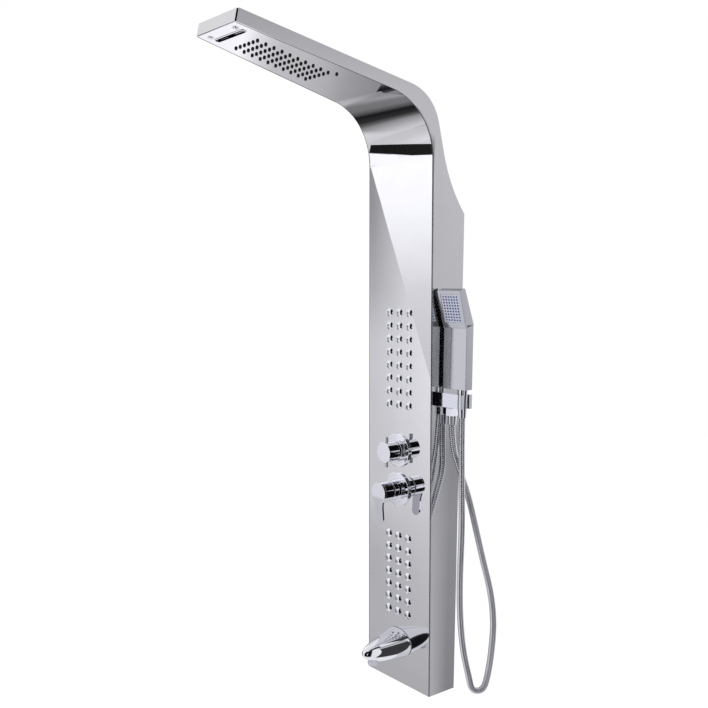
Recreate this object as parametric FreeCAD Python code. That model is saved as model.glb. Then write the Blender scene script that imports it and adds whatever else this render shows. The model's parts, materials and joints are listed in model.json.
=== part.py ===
"""Shower panel column: a bent stainless steel column with a rain arm, body jets, a diverter,
a lever mixer, a tub spout and a hand shower on a metal hose.

Millimetres. X is to the right, -Y is out of the wall, +Z is up. Shapes are built with the wall
plane at Y = 0 and the bottom edge of the column at Z = 0, and are moved at the end so that the
origin lies at the centre of the four wall screws.
"""
import FreeCAD
import Part
import math
import os

V = FreeCAD.Vector
os.makedirs("parts", exist_ok=True)

# ------------------------------------------------------------------ column and arm
column_width = 200.0
column_depth = 75.3          # side wall's depth at the bottom edge
front_lean = 1.0             # degrees that the front face leans out of the wall
sheet = 1.2                  # stainless sheet
arm_corner_height = 1245.6   # where the front face and the arm's underside would meet
bend_radius = 130.0          # visible inside of the bend
arm_rise = 11.3              # degrees that the arm climbs towards its tip
arm_reach = 543.0            # wall to the tip's lower edge
arm_tip_width = 132.0
arm_thickness = 25.0
taper_start = 70.0           # distance from the wall where the side walls start to draw in
taper_bend = 600.0           # radius of the side walls where they draw in
neck_lean = 15.0             # degrees from upright of the back edge above the column
neck_back = 64.0             # from the wall to a point on that edge
neck_drop = 90.6             # that point below the arm's corner
neck_radius = 95.0
wall_edge_drop = 212.6       # top of the side walls at the wall, below the arm's corner
seam_gap = 1.5               # shadow gap under the arm's end cap
end_cap_thickness = 2.0
slip = 0.3                   # clearance between pieces that slide past each other
fit = 0.05                   # radial clearance of pins and spindles in their holes

# ------------------------------------------------------------------ wall fixing
fixing_spacing_x = 120.0
fixing_lower_height = 120.0
fixing_top_margin = 93.0     # from the side walls' top down to the upper screws
fixing_hole = 6.5
rail_width = 160.0
rail_height = 46.0
rail_thickness = 2.0
rail_standoff = 12.0
rail_lip = 16.0
hook_drop = 20.0
hook_depth = 20.0

# ------------------------------------------------------------------ body jets
jet_diameter = 18.6
jet_proud = 5.0
jet_shank = 12.4
jet_edge = 1.0
jet_shank_length = 11.0
jet_bore = 1.4
jet_nut_flats = 18.0
jet_nut_thickness = 5.0
jet_nozzle = 6.0
jet_nozzle_proud = 0.6       # how far the soft nozzle stands out of its dome
jet_spacing_x = 31.2
jet_columns = 3
upper_jet_rows = 8
lower_jet_rows = 7
jet_pitch = 28.5
lower_jet_gap = 69.4         # from the spout's axis up to the lowest row
mixer_gap = 105.0            # from the lower field's highest row up to the mixer
valve_spacing = 86.0         # from the mixer up to the diverter
diverter_gap = 100.5         # from the diverter up to the upper field's lowest row
manifold_front = -7.0          # behind the front face
manifold_depth = 28.0
manifold_wall = 3.0
manifold_margin = 18.0

# ------------------------------------------------------------------ rain field and waterfall slot
rain_columns = 6
rain_rows = 10
rain_pitch_x = 14.7
rain_pitch_along = 18.3
rain_offset_x = -5.0
rain_hole = 6.4
rain_nozzle_clear = 0.3
single_hole_x = 42.0
single_hole_gap = 13.5       # from it along to the first row
mat_thickness = 2.0
rain_bore = 0.9
chamber_height = 13.0
chamber_wall = 2.5
chamber_margin = 9.0
slot_length = 100.0
slot_width = 14.0
slot_margin = 30.7           # from the tip back to the slot's middle
slot_gap = 38.8              # from the slot's middle back to the last row of rain holes
slot_rim = 2.0
slot_proud = 0.8
waterfall_margin = 4.0
tip_screw_spacing = 87.0
tip_screw_margin = 14.7      # from the tip back to the screws
tip_screw_head = 3.5
tip_screw_shank = 1.9
tip_screw_high = 1.4
tip_screw_slot = 0.8

# ------------------------------------------------------------------ valves
control_hole = 44.0
flange_diameter = 74.0
flange_height = 5.5
flange_edge = 1.6
grip_radius = 22.0
collar_radius = 24.5
collar_front = 13.0
knob_gap = 0.5               # between the collar and the knob
knob_front = 44.0
knob_face_wall = 9.0
grip_edge = 1.0              # chamfer on the knob's and the hub's rims
knob_pin_radius = 4.5
knob_pin_out = 36.0
knob_pin_reach = 33.0
valve_radius = 23.0
valve_depth = 46.0
valve_wall = 4.0
valve_neck = 3.0             # how far its neck stands out of the sheet
cartridge_radius = 17.5
port_depth = 21.0
port_offset = 7.5
spindle_radius = 5.0
spindle_flat = 1.0
knob_pin_seat = 12.0
knob_pin_edge = 1.0
set_screw_radius = 2.0
set_screw_out = 22.0
sleeve_front = 29.0
sleeve_wall = 1.8
handle_start = 31.5
handle_front = 59.0
handle_pivot_out = 14.0
handle_ball = 27.1           # hollow behind the hub that clears the sleeve as the lever lifts
stem_radius = 7.0
tongue_thickness = 6.0
tongue_height = 9.0
pivot_pin_radius = 2.0
paddle_length = 67.0
paddle_width = 23.0
paddle_root_width = 39.0
paddle_draw_in = 24.0        # length over which it draws in from its root
paddle_flank = 0.375         # how full its flanks are half way, 0.5 being straight
paddle_thickness = 4.0
paddle_lean = 5.0
inlet_spacing = 76.0
inlet_radius = 10.4          # G1/2 thread
inlet_length = 14.0
inlet_drop = 34.0
inlet_shoulder = 2.0         # how much the leg above the thread is thicker than it
inlet_bore = 7.0
barrel_radius = 13.0

# ------------------------------------------------------------------ tub spout
spout_height = 91.6
spout_length = 102.0
spout_half_height = 32.0
spout_half_width = 44.0
spout_droop = 4.5
spout_shank_in = 20.0
spout_shank_back = 14.0
spout_nut_flats = 27.0
aerator_radius = 11.5
aerator_out = 73.0
aerator_drop = 31.0
aerator_seat = 14.0
aerator_hole = 0.9
elbow_half = 10.0
shank_radius = 10.0
shank_bore = 7.0
gasket_thickness = 2.0
gasket_rim = 6.0
nut_thickness = 7.0

# ------------------------------------------------------------------ hand shower holder and outlet
holder_length = 46.0
holder_front = 45.0          # distance from the wall
holder_depth = 34.0
holder_bottom = 625.5
holder_height = 30.0
holder_edge = 1.5
socket_out = 34.0            # from the side wall to the socket's axis
socket_y = -28.0
socket_slot = 15.4
outlet_out = 14.0            # from the side wall to the outlet's axis
outlet_y = -38.0
holder_shank_radius = 9.0
holder_shank_length = 32.0
holder_shank_wall = 6.0
holder_nut_flats = 24.0
feed_in = 22.0               # from the side wall in to the tube that feeds it
nipple_radius = 9.6
nipple_length = 13.0
waterway = 4.5
nut_bottom = 590.0
nut_flats = 22.5
nut_grip = 16.0
nut_tail_radius = 9.2
nut_tail_top_radius = 10.4

# ------------------------------------------------------------------ hand shower
handset_turn = 5.0           # degrees that it is turned towards the user
handset_bottom = 668.0
handset_boss = 12.0
handset_boss_height = 30.0
inlet_pipe_radius = 9.0
handset_width = 60.0
handset_depth = 25.0
handset_front = 31.5         # front face's distance ahead of the socket's axis
ridge_rise = 3.0
head_bottom = 795.0
head_length = 80.0
head_thickness = 27.0
head_top_thickness = 18.0
shell_wall = 2.2
head_tilt = 16.0
plate_width = 47.0
plate_length = 60.0
plate_low = 12.0
plate_recess = 1.2
plate_thickness = 2.0
plate_ledge = 3.0            # ledge that the plate lies on
spray_columns = 6
spray_rows = 9
spray_pitch_x = 7.0
spray_pitch_z = 6.2
spray_nub = 1.3
nub_proud = 0.8
cone_top_radius = 11.6
cone_bottom_radius = 8.8
cone_bottom = 606.0
cone_thread = 8.5
lift = 50.0                  # how far the hand shower rises to leave its holder

# ------------------------------------------------------------------ hose
hose_radius = 7.0
hose_groove = 0.6
hose_bore = 4.2
hose_ribs = 180
hose_overlap = 2.0           # how much of it stays in the cone nut at full lift
hose_end_in_nut = 610.0
hose_first_run = 96.0
hose_last_run = 60.0
hose_side = V(0.84, -0.54, 0.0)     # square to the plane of the bottom loop
hose_route = [
    (147.0, -38.0, 466.0),
    (157.0, -45.0, 372.0),
    (159.0, -50.0, 262.0),
    (163.0, -50.0, 182.0),
    (174.0, -50.0, 118.0),
    (190.0, -48.0, 69.0),
    (194.5, -44.0, 40.0),
    (206.5, -22.5, 39.0),
    (212.5, -16.5, 68.0),
    (223.0, -18.0, 122.0),
    (229.0, -19.0, 190.0),
    (218.0, -18.0, 252.0),
    (193.0, -17.0, 312.0),
    (170.0, -16.0, 374.0),
    (148.0, -16.0, 436.0),
    (126.0, -21.0, 488.0),
]

# ------------------------------------------------------------------ water tubes
tube_radius = 4.5
tube_bore = 3.5
tube_lane = 57.3             # from the middle, clear of the water boxes
tube_lane_depth = 11.0
tube_arm_depth = 9.7
tube_bend = 14.0
rain_tube_port = 40.0        # from the middle, where it enters the rain chamber
link_lane = 36.0
link_depth = 50.0

# ------------------------------------------------------------------ worked out from the above
lean = math.radians(front_lean)
rise = math.radians(arm_rise)
face_out = V(0, -math.cos(lean), -math.sin(lean))
face_up = V(0, -math.sin(lean), math.cos(lean))
arm_along = V(0, -math.cos(rise), math.sin(rise))
arm_down = V(0, -math.sin(rise), -math.cos(rise))
corner = (-column_depth - arm_corner_height * math.tan(lean), arm_corner_height)
underside_height = corner[1] + corner[0] * math.tan(rise)
neck_point = (-neck_back, arm_corner_height - neck_drop)
wall_edge_height = arm_corner_height - wall_edge_drop
fixing_spacing_z = wall_edge_height - fixing_top_margin - fixing_lower_height
fixing_mid = fixing_lower_height + fixing_spacing_z / 2
socket_x = column_width / 2 + socket_out
outlet_x = column_width / 2 + outlet_out
feed_x = column_width / 2 - feed_in
arm_tip = arm_reach / math.cos(rise)
tip_screw_along = arm_tip - tip_screw_margin
slot_along = arm_tip - slot_margin
rain_first_row = slot_along - slot_gap - (rain_rows - 1) * rain_pitch_along
lower_jet_top = spout_height + lower_jet_gap + (lower_jet_rows - 1) * jet_pitch
mixer_height = lower_jet_top + mixer_gap
diverter_height = mixer_height + valve_spacing
upper_jet_top = diverter_height + diverter_gap + (upper_jet_rows - 1) * jet_pitch
tube_arm_bend = bend_radius + tube_arm_depth
origin_shift = V(0, 0, -fixing_mid)
hose_end_in_cone = cone_bottom + lift + hose_overlap
holder_centre = (-holder_front + holder_depth / 2, holder_bottom + holder_height / 2)
taper_reach = taper_bend * math.tan(
    math.atan((column_width - arm_tip_width) / 2 / (arm_reach - taper_start)) / 2
)


def save(name, shape):
    """Write one piece, or a group of like pieces, moved to the origin at the wall fixing."""
    placed = shape.copy()
    placed.translate(origin_shift)
    placed.exportStep(f"parts/{name}.step")
    print(f"{name}: {len(placed.Solids)} solids, {placed.Volume / 1000:.2f} cm3, valid {placed.isValid()}")


def on_face(shape, x=0.0, height=0.0):
    """Move a shape from face coordinates (x, up, out) to its place on the leaning front face."""
    placed = shape.copy()
    placed.rotate(V(0, 0, 0), V(1, 0, 0), 90 + front_lean)
    placed.translate(V(x, -column_depth, 0) + face_up * height)
    return placed


def on_arm(shape):
    """Move a shape from arm coordinates (x, along, down) to its place on the arm's underside."""
    placed = shape.copy()
    placed.rotate(V(0, 0, 0), V(1, 0, 0), 180 - arm_rise)
    placed.translate(V(0, 0, underside_height))
    return placed


def cylinder(radius, start, end, x=0.0, y=0.0):
    """A cylinder along local Z."""
    return Part.makeCylinder(radius, end - start, V(x, y, start))


def tube(outer, inner, start, end, x=0.0, y=0.0):
    return cylinder(outer, start, end, x, y).cut(cylinder(inner, start, end, x, y))


def box(x0, x1, y0, y1, z0, z1):
    return Part.makeBox(x1 - x0, y1 - y0, z1 - z0, V(x0, y0, z0))


def ring(points):
    """A solid of revolution about local Z from (radius, height) points."""
    wire = Part.makePolygon([V(r, 0, z) for r, z in points + points[:1]])
    return Part.Face(wire).revolve(V(0, 0, 0), V(0, 0, 1), 360)


def hexagon(across_flats, start, end):
    corner_radius = across_flats / math.sqrt(3)
    points = []
    for i in range(7):
        angle = math.radians(60 * i)
        points.append(V(corner_radius * math.cos(angle), corner_radius * math.sin(angle), start))
    return Part.Face(Part.makePolygon(points)).extrude(V(0, 0, end - start))


# ------------------------------------------------------------------ outlines
def meet(p, angle_p, q, angle_q):
    """Where two lines meet, each given by a point and a direction in degrees, in a plane."""
    px, py = p
    qx, qy = q
    ax, ay = math.cos(math.radians(angle_p)), math.sin(math.radians(angle_p))
    bx, by = math.cos(math.radians(angle_q)), math.sin(math.radians(angle_q))
    t = ((qx - px) * by - (qy - py) * bx) / (ax * by - ay * bx)
    return (px + ax * t, py + ay * t)


def rounded(before, middle, after, radius):
    """Start, middle and end of the arc of a given radius that rounds a corner."""
    b = V(before[0], before[1], 0) - V(middle[0], middle[1], 0)
    a = V(after[0], after[1], 0) - V(middle[0], middle[1], 0)
    b.normalize()
    a.normalize()
    half = b.getAngle(a) / 2
    reach = radius / math.tan(half)
    bisector = (a + b).normalize()
    centre = V(middle[0], middle[1], 0) + bisector * (radius / math.sin(half))
    top = centre - bisector * radius
    start = V(middle[0], middle[1], 0) + b * reach
    end = V(middle[0], middle[1], 0) + a * reach
    return (start.x, start.y), (top.x, top.y), (end.x, end.y)


def edges_between(items):
    """Lines and arcs through a list of (Y, Z) points; a triple of points is an arc."""
    edges = []
    last = None
    for item in items:
        if isinstance(item[0], tuple):
            start, mid, end = (V(0, p[0], p[1]) for p in item)
            if last is not None and last.distanceToPoint(start) > 1e-6:
                edges.append(Part.LineSegment(last, start).toShape())
            edges.append(Part.Arc(start, mid, end).toShape())
            last = end
        else:
            point = V(0, item[0], item[1])
            if last is not None:
                edges.append(Part.LineSegment(last, point).toShape())
            last = point
    return edges


def front_line(inset):
    """The visible front and underside, moved inwards by inset: bottom, bend and tip."""
    start = (-column_depth + inset / math.cos(lean), 0.0)
    tip_y = -arm_reach + inset * math.sin(rise)
    tip_z = underside_height + arm_reach * math.tan(rise) + inset * math.cos(rise)
    middle = meet(start, 90 + front_lean, (tip_y, tip_z), 180 - arm_rise)
    return [start, rounded(start, middle, (tip_y, tip_z), bend_radius + inset), (tip_y, tip_z)]


def back_line(inset):
    """The arm's top and the S-shaped edge down to the wall, from the tip, moved inwards by inset."""
    depth = arm_thickness - inset
    tip_y = -arm_reach + depth * math.sin(rise)
    tip_z = underside_height + arm_reach * math.tan(rise) + depth * math.cos(rise)
    neck_angle = 90 + neck_lean
    neck = (
        neck_point[0] - inset * math.cos(math.radians(neck_lean)),
        neck_point[1] - inset * math.sin(math.radians(neck_lean)),
    )
    middle = meet((tip_y, tip_z), 180 - arm_rise, neck, neck_angle)
    top_bend = rounded((tip_y, tip_z), middle, neck, neck_radius - inset)
    wall_point = (0.0, wall_edge_height - inset / math.cos(math.radians(neck_lean)))
    chord = V(wall_point[0] - neck[0], wall_point[1] - neck[1], 0)
    normal = V(math.cos(math.radians(neck_lean)), math.sin(math.radians(neck_lean)), 0)
    flare_radius = chord.Length ** 2 / (2 * abs(chord.dot(normal)))
    centre = V(neck[0], neck[1], 0) + normal * flare_radius
    half_way = V((neck[0] + wall_point[0]) / 2, (neck[1] + wall_point[1]) / 2, 0) - centre
    half_way = centre + half_way.normalize() * flare_radius
    flare = (neck, (half_way.x, half_way.y), wall_point)
    return [(tip_y, tip_z), top_bend, flare]


def closed_face(items):
    edges = edges_between(items)
    first = edges[0].Vertexes[0].Point
    last = edges[-1].Vertexes[-1].Point
    edges.append(Part.LineSegment(last, first).toShape())
    return Part.Face(Part.Wire(edges))


def across(face, half=column_width):
    """A solid from a face in the YZ plane, extruded both ways along X."""
    moved = face.copy()
    moved.translate(V(-half, 0, 0))
    return moved.extrude(V(2 * half, 0, 0))


def reversed_items(items):
    return [tuple(reversed(i)) if isinstance(i[0], tuple) else i for i in reversed(items)]


def plan_edges(inset):
    """The right side wall seen from above, moved inwards by inset: wall, draw-in and tip."""
    half = column_width / 2 - inset
    tip = (arm_tip_width / 2 - inset, -arm_reach - 2 * arm_thickness)
    draw_in = rounded((half, 0.0), (half, -taper_start - taper_reach), tip, taper_bend)
    return [(half, 2 * sheet), draw_in, tip]


def plan_solid(inset):
    """Everything between the two side walls' faces, seen from above."""
    right = plan_edges(inset)
    wall, draw_in, tip = right
    flat = [V(p[0], p[1], -sheet) for p in (wall,) + draw_in + (tip,)]
    edges = [
        Part.LineSegment(flat[0], flat[1]).toShape(),
        Part.Arc(flat[1], flat[2], flat[3]).toShape(),
        Part.LineSegment(flat[3], flat[4]).toShape(),
    ]
    mirror = [V(-p.x, p.y, p.z) for p in flat]
    edges += [
        Part.LineSegment(flat[4], mirror[4]).toShape(),
        Part.LineSegment(mirror[4], mirror[3]).toShape(),
        Part.Arc(mirror[3], mirror[2], mirror[1]).toShape(),
        Part.LineSegment(mirror[1], mirror[0]).toShape(),
        Part.LineSegment(mirror[0], flat[0]).toShape(),
    ]
    height = arm_corner_height + arm_reach
    return Part.Face(Part.Wire(edges)).extrude(V(0, 0, height))


def jet_places(top, rows):
    """(x, height on the face) of every jet of one field."""
    half = (jet_columns - 1) / 2
    xs = [(c - half) * jet_spacing_x for c in range(jet_columns)]
    return [(x, top - r * jet_pitch) for r in range(rows) for x in xs]


def rain_places():
    """(x, along) of every hole under the arm."""
    half = (rain_columns - 1) / 2
    places = [
        ((c - half) * rain_pitch_x + rain_offset_x, rain_first_row + r * rain_pitch_along)
        for r in range(rain_rows)
        for c in range(rain_columns)
    ]
    return places + [(single_hole_x, rain_first_row - single_hole_gap)]


def slot_shape(grow, start, end):
    """The waterfall slot's outline with rounded ends, in arm coordinates."""
    r = slot_width / 2 + grow
    half = slot_length / 2 - slot_width / 2
    body = box(-half, half, slot_along - r, slot_along + r, start, end)
    for x in (-half, half):
        body = body.fuse(cylinder(r, start, end, x, slot_along))
    return body.removeSplitter()


# ------------------------------------------------------------------ column shell
def front_sheet():
    band = across(closed_face(front_line(0) + reversed_items(front_line(sheet))))
    shell = band.common(plan_solid(0))
    holes = [on_face(cylinder(jet_shank / 2 + slip, -3 * sheet, 3 * sheet), x, h) for x, h in
             jet_places(upper_jet_top, upper_jet_rows) + jet_places(lower_jet_top, lower_jet_rows)]
    for height in (diverter_height, mixer_height):
        holes.append(on_face(cylinder(control_hole / 2, -3 * sheet, 3 * sheet), 0, height))
    holes.append(on_face(cylinder(shank_radius + slip, -3 * sheet, 3 * sheet), 0, spout_height))
    for x, along in rain_places():
        holes.append(on_arm(cylinder(rain_hole / 2, -3 * sheet, 3 * sheet, x, along)))
    for side in (-1, 1):
        x = side * tip_screw_spacing / 2
        holes.append(on_arm(cylinder(tip_screw_shank + slip / 2, -3 * sheet, 3 * sheet, x, tip_screw_along)))
    holes.append(on_arm(slot_shape(slip, -3 * sheet, 3 * sheet)))
    return shell.cut(holes)


def side_panel(side):
    outline = front_line(sheet) + back_line(0) + [(0.0, 0.0)]
    slab = across(closed_face(outline))
    band = plan_solid(0).cut(plan_solid(sheet))
    half = box(0, column_width, -2 * arm_reach, sheet * 9, -sheet * 9, 2 * arm_corner_height)
    if side < 0:
        half = half.mirror(V(0, 0, 0), V(1, 0, 0))
    panel = slab.common(band).common(half)
    if side > 0:
        panel = panel.cut(holder_shank_hole())
    return panel


def holder_shank_hole():
    start = V(column_width / 2 - 3 * sheet, *holder_centre)
    return Part.makeCylinder(holder_shank_radius + slip, 6 * sheet, start, V(1, 0, 0))


def arm_cover():
    """The sheet that closes the arm's top and the neck down to the wall."""
    band = across(closed_face(back_line(0) + reversed_items(back_line(sheet))))
    return band.common(plan_solid(sheet))


def arm_end_cap():
    """The bright plate that closes the arm's tip, with a shadow gap under it."""
    half = arm_tip_width / 2
    top = -arm_thickness
    plate = box(-half, half, arm_tip, arm_tip + end_cap_thickness, top, -seam_gap)
    inner = half - 3 * sheet
    tongue = box(-inner, inner, arm_tip - 8 * sheet, arm_tip, top + 2 * sheet, top + 4 * sheet)
    return on_arm(plate.fuse(tongue))


# ------------------------------------------------------------------ wall fixing
def yz_bar(points, half):
    wire = Part.makePolygon([V(-half, y, z) for y, z in points + points[:1]])
    return Part.Face(wire).extrude(V(2 * half, 0, 0))


def wall_rail(height):
    """A rail screwed to the wall, with a lip standing off it."""
    t, out = rail_thickness, rail_standoff
    low, high = height - rail_height / 2, height + rail_height / 2
    rail = yz_bar(
        [(0, low), (0, high), (-out + t, high), (-out + t, high + rail_lip), (-out, high + rail_lip),
         (-out, high - t), (-t, high - t), (-t, low)],
        rail_width / 2,
    )
    for side in (-1, 1):
        start = V(side * fixing_spacing_x / 2, 2 * t, height)
        rail = rail.cut(Part.makeCylinder(fixing_hole / 2, 4 * t, start, V(0, -1, 0)))
    return rail


def hook_channel(height):
    """A channel welded between the side walls; its lip hangs behind the rail's lip."""
    t = rail_thickness
    top = height + rail_height / 2 + rail_lip
    low = top - hook_drop
    back = -rail_standoff + t + slip
    front = back - hook_depth
    return yz_bar(
        [(back + t, low + 2 * t), (back + t, top + t), (front, top + t), (front, low),
         (front + t, low), (front + t, top), (back, top), (back, low + 2 * t)],
        column_width / 2 - sheet,
    )


# ------------------------------------------------------------------ body jets
def jet_face():
    """One chromed dome with its threaded shank and a seat for the soft nozzle."""
    radius, edge = jet_diameter / 2, jet_edge
    ball = (radius ** 2 + (jet_proud - edge) ** 2) / (2 * (jet_proud - edge))
    seat = jet_nozzle / 2

    def height(r):
        return jet_proud - ball + math.sqrt(ball ** 2 - r ** 2)

    shank = jet_shank / 2
    outline = [V(seat, 0, -jet_shank_length), V(shank, 0, -jet_shank_length), V(shank, 0, 0), V(radius, 0, 0),
               V(radius, 0, edge)]
    middle = (radius + seat) / 2
    edges = [Part.LineSegment(a, b).toShape() for a, b in zip(outline, outline[1:])]
    top = V(seat, 0, height(seat))
    edges.append(Part.Arc(outline[-1], V(middle, 0, height(middle)), top).toShape())
    edges.append(Part.LineSegment(top, outline[0]).toShape())
    return Part.Face(Part.Wire(edges)).revolve(V(0, 0, 0), V(0, 0, 1), 360)


def jet_insert():
    """The soft nozzle that is pushed through the dome."""
    seat, bore, low, top = jet_nozzle / 2, jet_bore, -jet_shank_length, jet_proud + jet_nozzle_proud
    return ring([(bore, low), (seat, low), (seat, jet_proud), (seat - jet_edge, top), (bore, top)])


def jet_nut():
    nut = hexagon(jet_nut_flats, -sheet - jet_nut_thickness, -sheet)
    return nut.cut(cylinder(jet_shank / 2, -sheet - jet_nut_thickness, -sheet))


def at_jets(piece, top, rows):
    return Part.makeCompound([on_face(piece, x, h) for x, h in jet_places(top, rows)])


def manifold(top, rows):
    """The flat water box behind one field of jets."""
    half = (jet_columns - 1) / 2 * jet_spacing_x + manifold_margin
    low, high = top - (rows - 1) * jet_pitch - manifold_margin, top + manifold_margin
    front = manifold_front
    back = front - manifold_depth
    w = manifold_wall
    shell = box(-half, half, low, high, back, front).cut(
        box(-half + w, half - w, low + w, high - w, back + w, front - w)
    )
    shank = jet_shank / 2 + slip / 2
    holes = [cylinder(shank, front - 2 * w, front + w, x, h) for x, h in jet_places(top, rows)]
    holes.append(cylinder(tube_bore, back - w, back + 2 * w, -link_lane, link_height(top, rows)))
    holes.append(pin_at(0, low - w, 2 * w, -port_depth))
    return on_face(shell.cut(holes))


def pin_at(x, start, length, out):
    """A water hole along local Y."""
    return Part.makeCylinder(tube_bore, length, V(x, start, out), V(0, 1, 0))


def link_height(top, rows):
    """Where the link tube meets a water box: one pitch below the row nearest the valves."""
    return top - (rows - 1.5) * jet_pitch if top > diverter_height else top - 0.5 * jet_pitch


# ------------------------------------------------------------------ rain field and waterfall
def chamber_box(x0, x1, s0, s1):
    """A shallow tray on the soft mat, open downwards."""
    low, high = -sheet - mat_thickness, -sheet - mat_thickness - chamber_height
    w = chamber_wall
    return box(x0, x1, s0, s1, high, low).cut(box(x0 + w, x1 - w, s0 + w, s1 - w, high + w, low + w))


def rain_span():
    xs = [x for x, along in rain_places()]
    alongs = [along for x, along in rain_places()]
    m = rain_hole / 2 + chamber_margin - chamber_wall
    return -max(map(abs, xs)) - m, max(map(abs, xs)) + m, min(alongs) - m, max(alongs) + m


def rain_mat():
    """The soft mat whose nubs stand in the rain holes."""
    x0, x1, s0, s1 = rain_span()
    mat = box(x0, x1, s0, s1, -sheet - mat_thickness, -sheet)
    nub = rain_hole / 2 - rain_nozzle_clear
    nubs = [cylinder(nub, -sheet - mat_thickness, -sheet / 2, x, along) for x, along in rain_places()]
    bores = [cylinder(rain_bore, -sheet * 9, sheet, x, along) for x, along in rain_places()]
    return on_arm(mat.multiFuse(nubs).cut(bores))


def rain_chamber():
    return on_arm(chamber_box(*rain_span()))


def waterfall_box():
    """The outlet box over the slot, with the rounded rim that stands in it."""
    half = slot_length / 2 + chamber_margin - chamber_wall
    reach = slot_width / 2 + waterfall_margin
    w = chamber_wall
    low, high = -sheet, -sheet - mat_thickness - chamber_height
    body = box(-half, half, slot_along - reach, slot_along + reach, high, low)
    body = body.fuse(slot_shape(0, low, slot_proud))
    inside = box(-half + w, half - w, slot_along - reach + w, slot_along + reach - w, high + w, low - w)
    return on_arm(body.cut(inside).cut(slot_shape(-slot_rim, high + w, 2 * slot_proud)))


def tip_screws():
    """Two low-headed screws that hold the outlet end of the underside."""
    r, head, high = tip_screw_shank, tip_screw_head, tip_screw_high
    low = -6 * sheet
    screw = ring([(0, low), (r, low), (r, 0), (head, 0), (0.8 * head, 0.8 * high), (0, high)])
    slot = box(-head, head, -tip_screw_slot / 2, tip_screw_slot / 2, high / 2, 2 * high)
    screws = []
    for side in (-1, 1):
        piece = screw.cut(slot)
        piece.translate(V(side * tip_screw_spacing / 2, tip_screw_along, 0))
        screws.append(on_arm(piece))
    return Part.makeCompound(screws)


# ------------------------------------------------------------------ valves
def valve_block():
    """A square brass body with a round neck that stands in the front sheet's hole."""
    r = valve_radius
    block = box(-r, r, -r, r, -valve_depth, -sheet)
    block = block.fuse(cylinder(control_hole / 2 - slip, -sheet, valve_neck))
    return block.cut(cylinder(cartridge_radius, -valve_depth + valve_wall, valve_neck))


def cartridge(stem, height):
    return on_face(tube(cartridge_radius - fit, stem + fit, -valve_depth + valve_wall, valve_neck), 0, height)


def bonnet(stem, height):
    return on_face(tube(control_hole / 2 - slip, stem + fit, valve_neck, flange_height), 0, height)


def flange(height):
    """The round flange on the front sheet, low at the rim and rising to the grip."""
    inner = control_hole / 2
    outer = flange_diameter / 2
    dome = ring([(inner, 0), (outer, 0), (outer, flange_edge), (outer - 3, flange_edge + 1.4),
                 (collar_radius + 3, flange_height - 1.2), (collar_radius + 1.2, flange_height),
                 (inner, flange_height)])
    return on_face(dome, 0, height)


def diverter_body():
    """The diverter's body: fed from below, with one port up to the jets and two on each side."""
    block = valve_block()
    ports = [(0, V(0, 1, 0)), (0, V(0, -1, 0))]
    for side in (-1, 1):
        for up in (-1, 1):
            ports.append((up * port_offset, V(side, 0, 0)))
    for up, direction in ports:
        block = block.cut(Part.makeCylinder(tube_bore, 2 * valve_radius, V(0, up, -port_depth), direction))
    return on_face(block, 0, diverter_height)


def mixer_body():
    """The mixing valve's body: a barrel across it with a threaded inlet at each end."""
    block = valve_block()
    depth = port_depth
    half = inlet_spacing / 2
    across_x, upwards, downwards = V(1, 0, 0), V(0, 1, 0), V(0, -1, 0)
    block = block.fuse(Part.makeCylinder(barrel_radius, 2 * half, V(-half, 0, -depth), across_x))
    for side in (-1, 1):
        end = V(side * half, 0, -depth)
        thread_top = end + upwards * (inlet_length - inlet_drop)
        root = Part.makeCylinder(inlet_radius + inlet_shoulder, inlet_drop - inlet_length, end, downwards)
        thread = Part.makeCylinder(inlet_radius, inlet_length, thread_top, downwards)
        block = block.fuse([Part.makeSphere(barrel_radius, end), root, thread])
    block = block.cut(Part.makeCylinder(inlet_bore, 2 * half, V(-half, 0, -depth), across_x))
    for side in (-1, 1):
        block = block.cut(Part.makeCylinder(inlet_bore, inlet_drop, V(side * half, 0, -depth), downwards))
    block = block.cut(Part.makeCylinder(tube_bore, 2 * valve_radius, V(0, 0, -depth), upwards))
    block = block.cut(cylinder(cartridge_radius, -valve_depth + valve_wall, valve_neck))
    return on_face(block, 0, mixer_height)


def diverter_collar():
    ring_piece = ring([(spindle_radius + 3, flange_height), (collar_radius, flange_height),
                       (collar_radius, collar_front - 1.2), (collar_radius - 1.2, collar_front),
                       (spindle_radius + 3, collar_front)])
    return on_face(ring_piece, 0, diverter_height)


def diverter_spindle():
    r = spindle_radius
    spindle = cylinder(r, -valve_depth + 2 * valve_wall, knob_front - knob_face_wall - 1)
    flat = box(-r, r, -r, -r + spindle_flat, collar_front, knob_front)
    return on_face(spindle.cut(flat), 0, diverter_height)


def diverter_knob():
    start, front = collar_front + knob_gap, knob_front
    r, edge = grip_radius, grip_edge
    knob = ring(
        [(0, start), (r - edge, start), (r, start + edge), (r, front - edge), (r - edge, front), (0, front)]
    )
    knob = knob.cut(cylinder(spindle_radius + fit, start, front - knob_face_wall))
    for side in (-1, 1):
        knob = knob.cut(pin_along_y(knob_pin_radius, side * knob_pin_seat, side * 2 * r, knob_pin_out))
    screw_hole = pin_along_y(set_screw_radius, -spindle_radius, -grip_radius * 2, set_screw_out)
    return on_face(knob.cut(screw_hole), 0, diverter_height)


def pin_along_y(radius, start, end, out):
    return Part.makeCylinder(radius, abs(end - start), V(0, start, out), V(0, 1 if end > start else -1, 0))


def knob_pins():
    pins = []
    for side in (-1, 1):
        pin = pin_along_y(knob_pin_radius, side * knob_pin_seat, side * knob_pin_reach, knob_pin_out)
        rim = [e for e in pin.Edges if abs(abs(e.CenterOfMass.y) - knob_pin_reach) < 0.1 and e.Closed]
        pins.append(on_face(pin.makeFillet(knob_pin_edge, rim), 0, diverter_height))
    return Part.makeCompound(pins)


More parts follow.
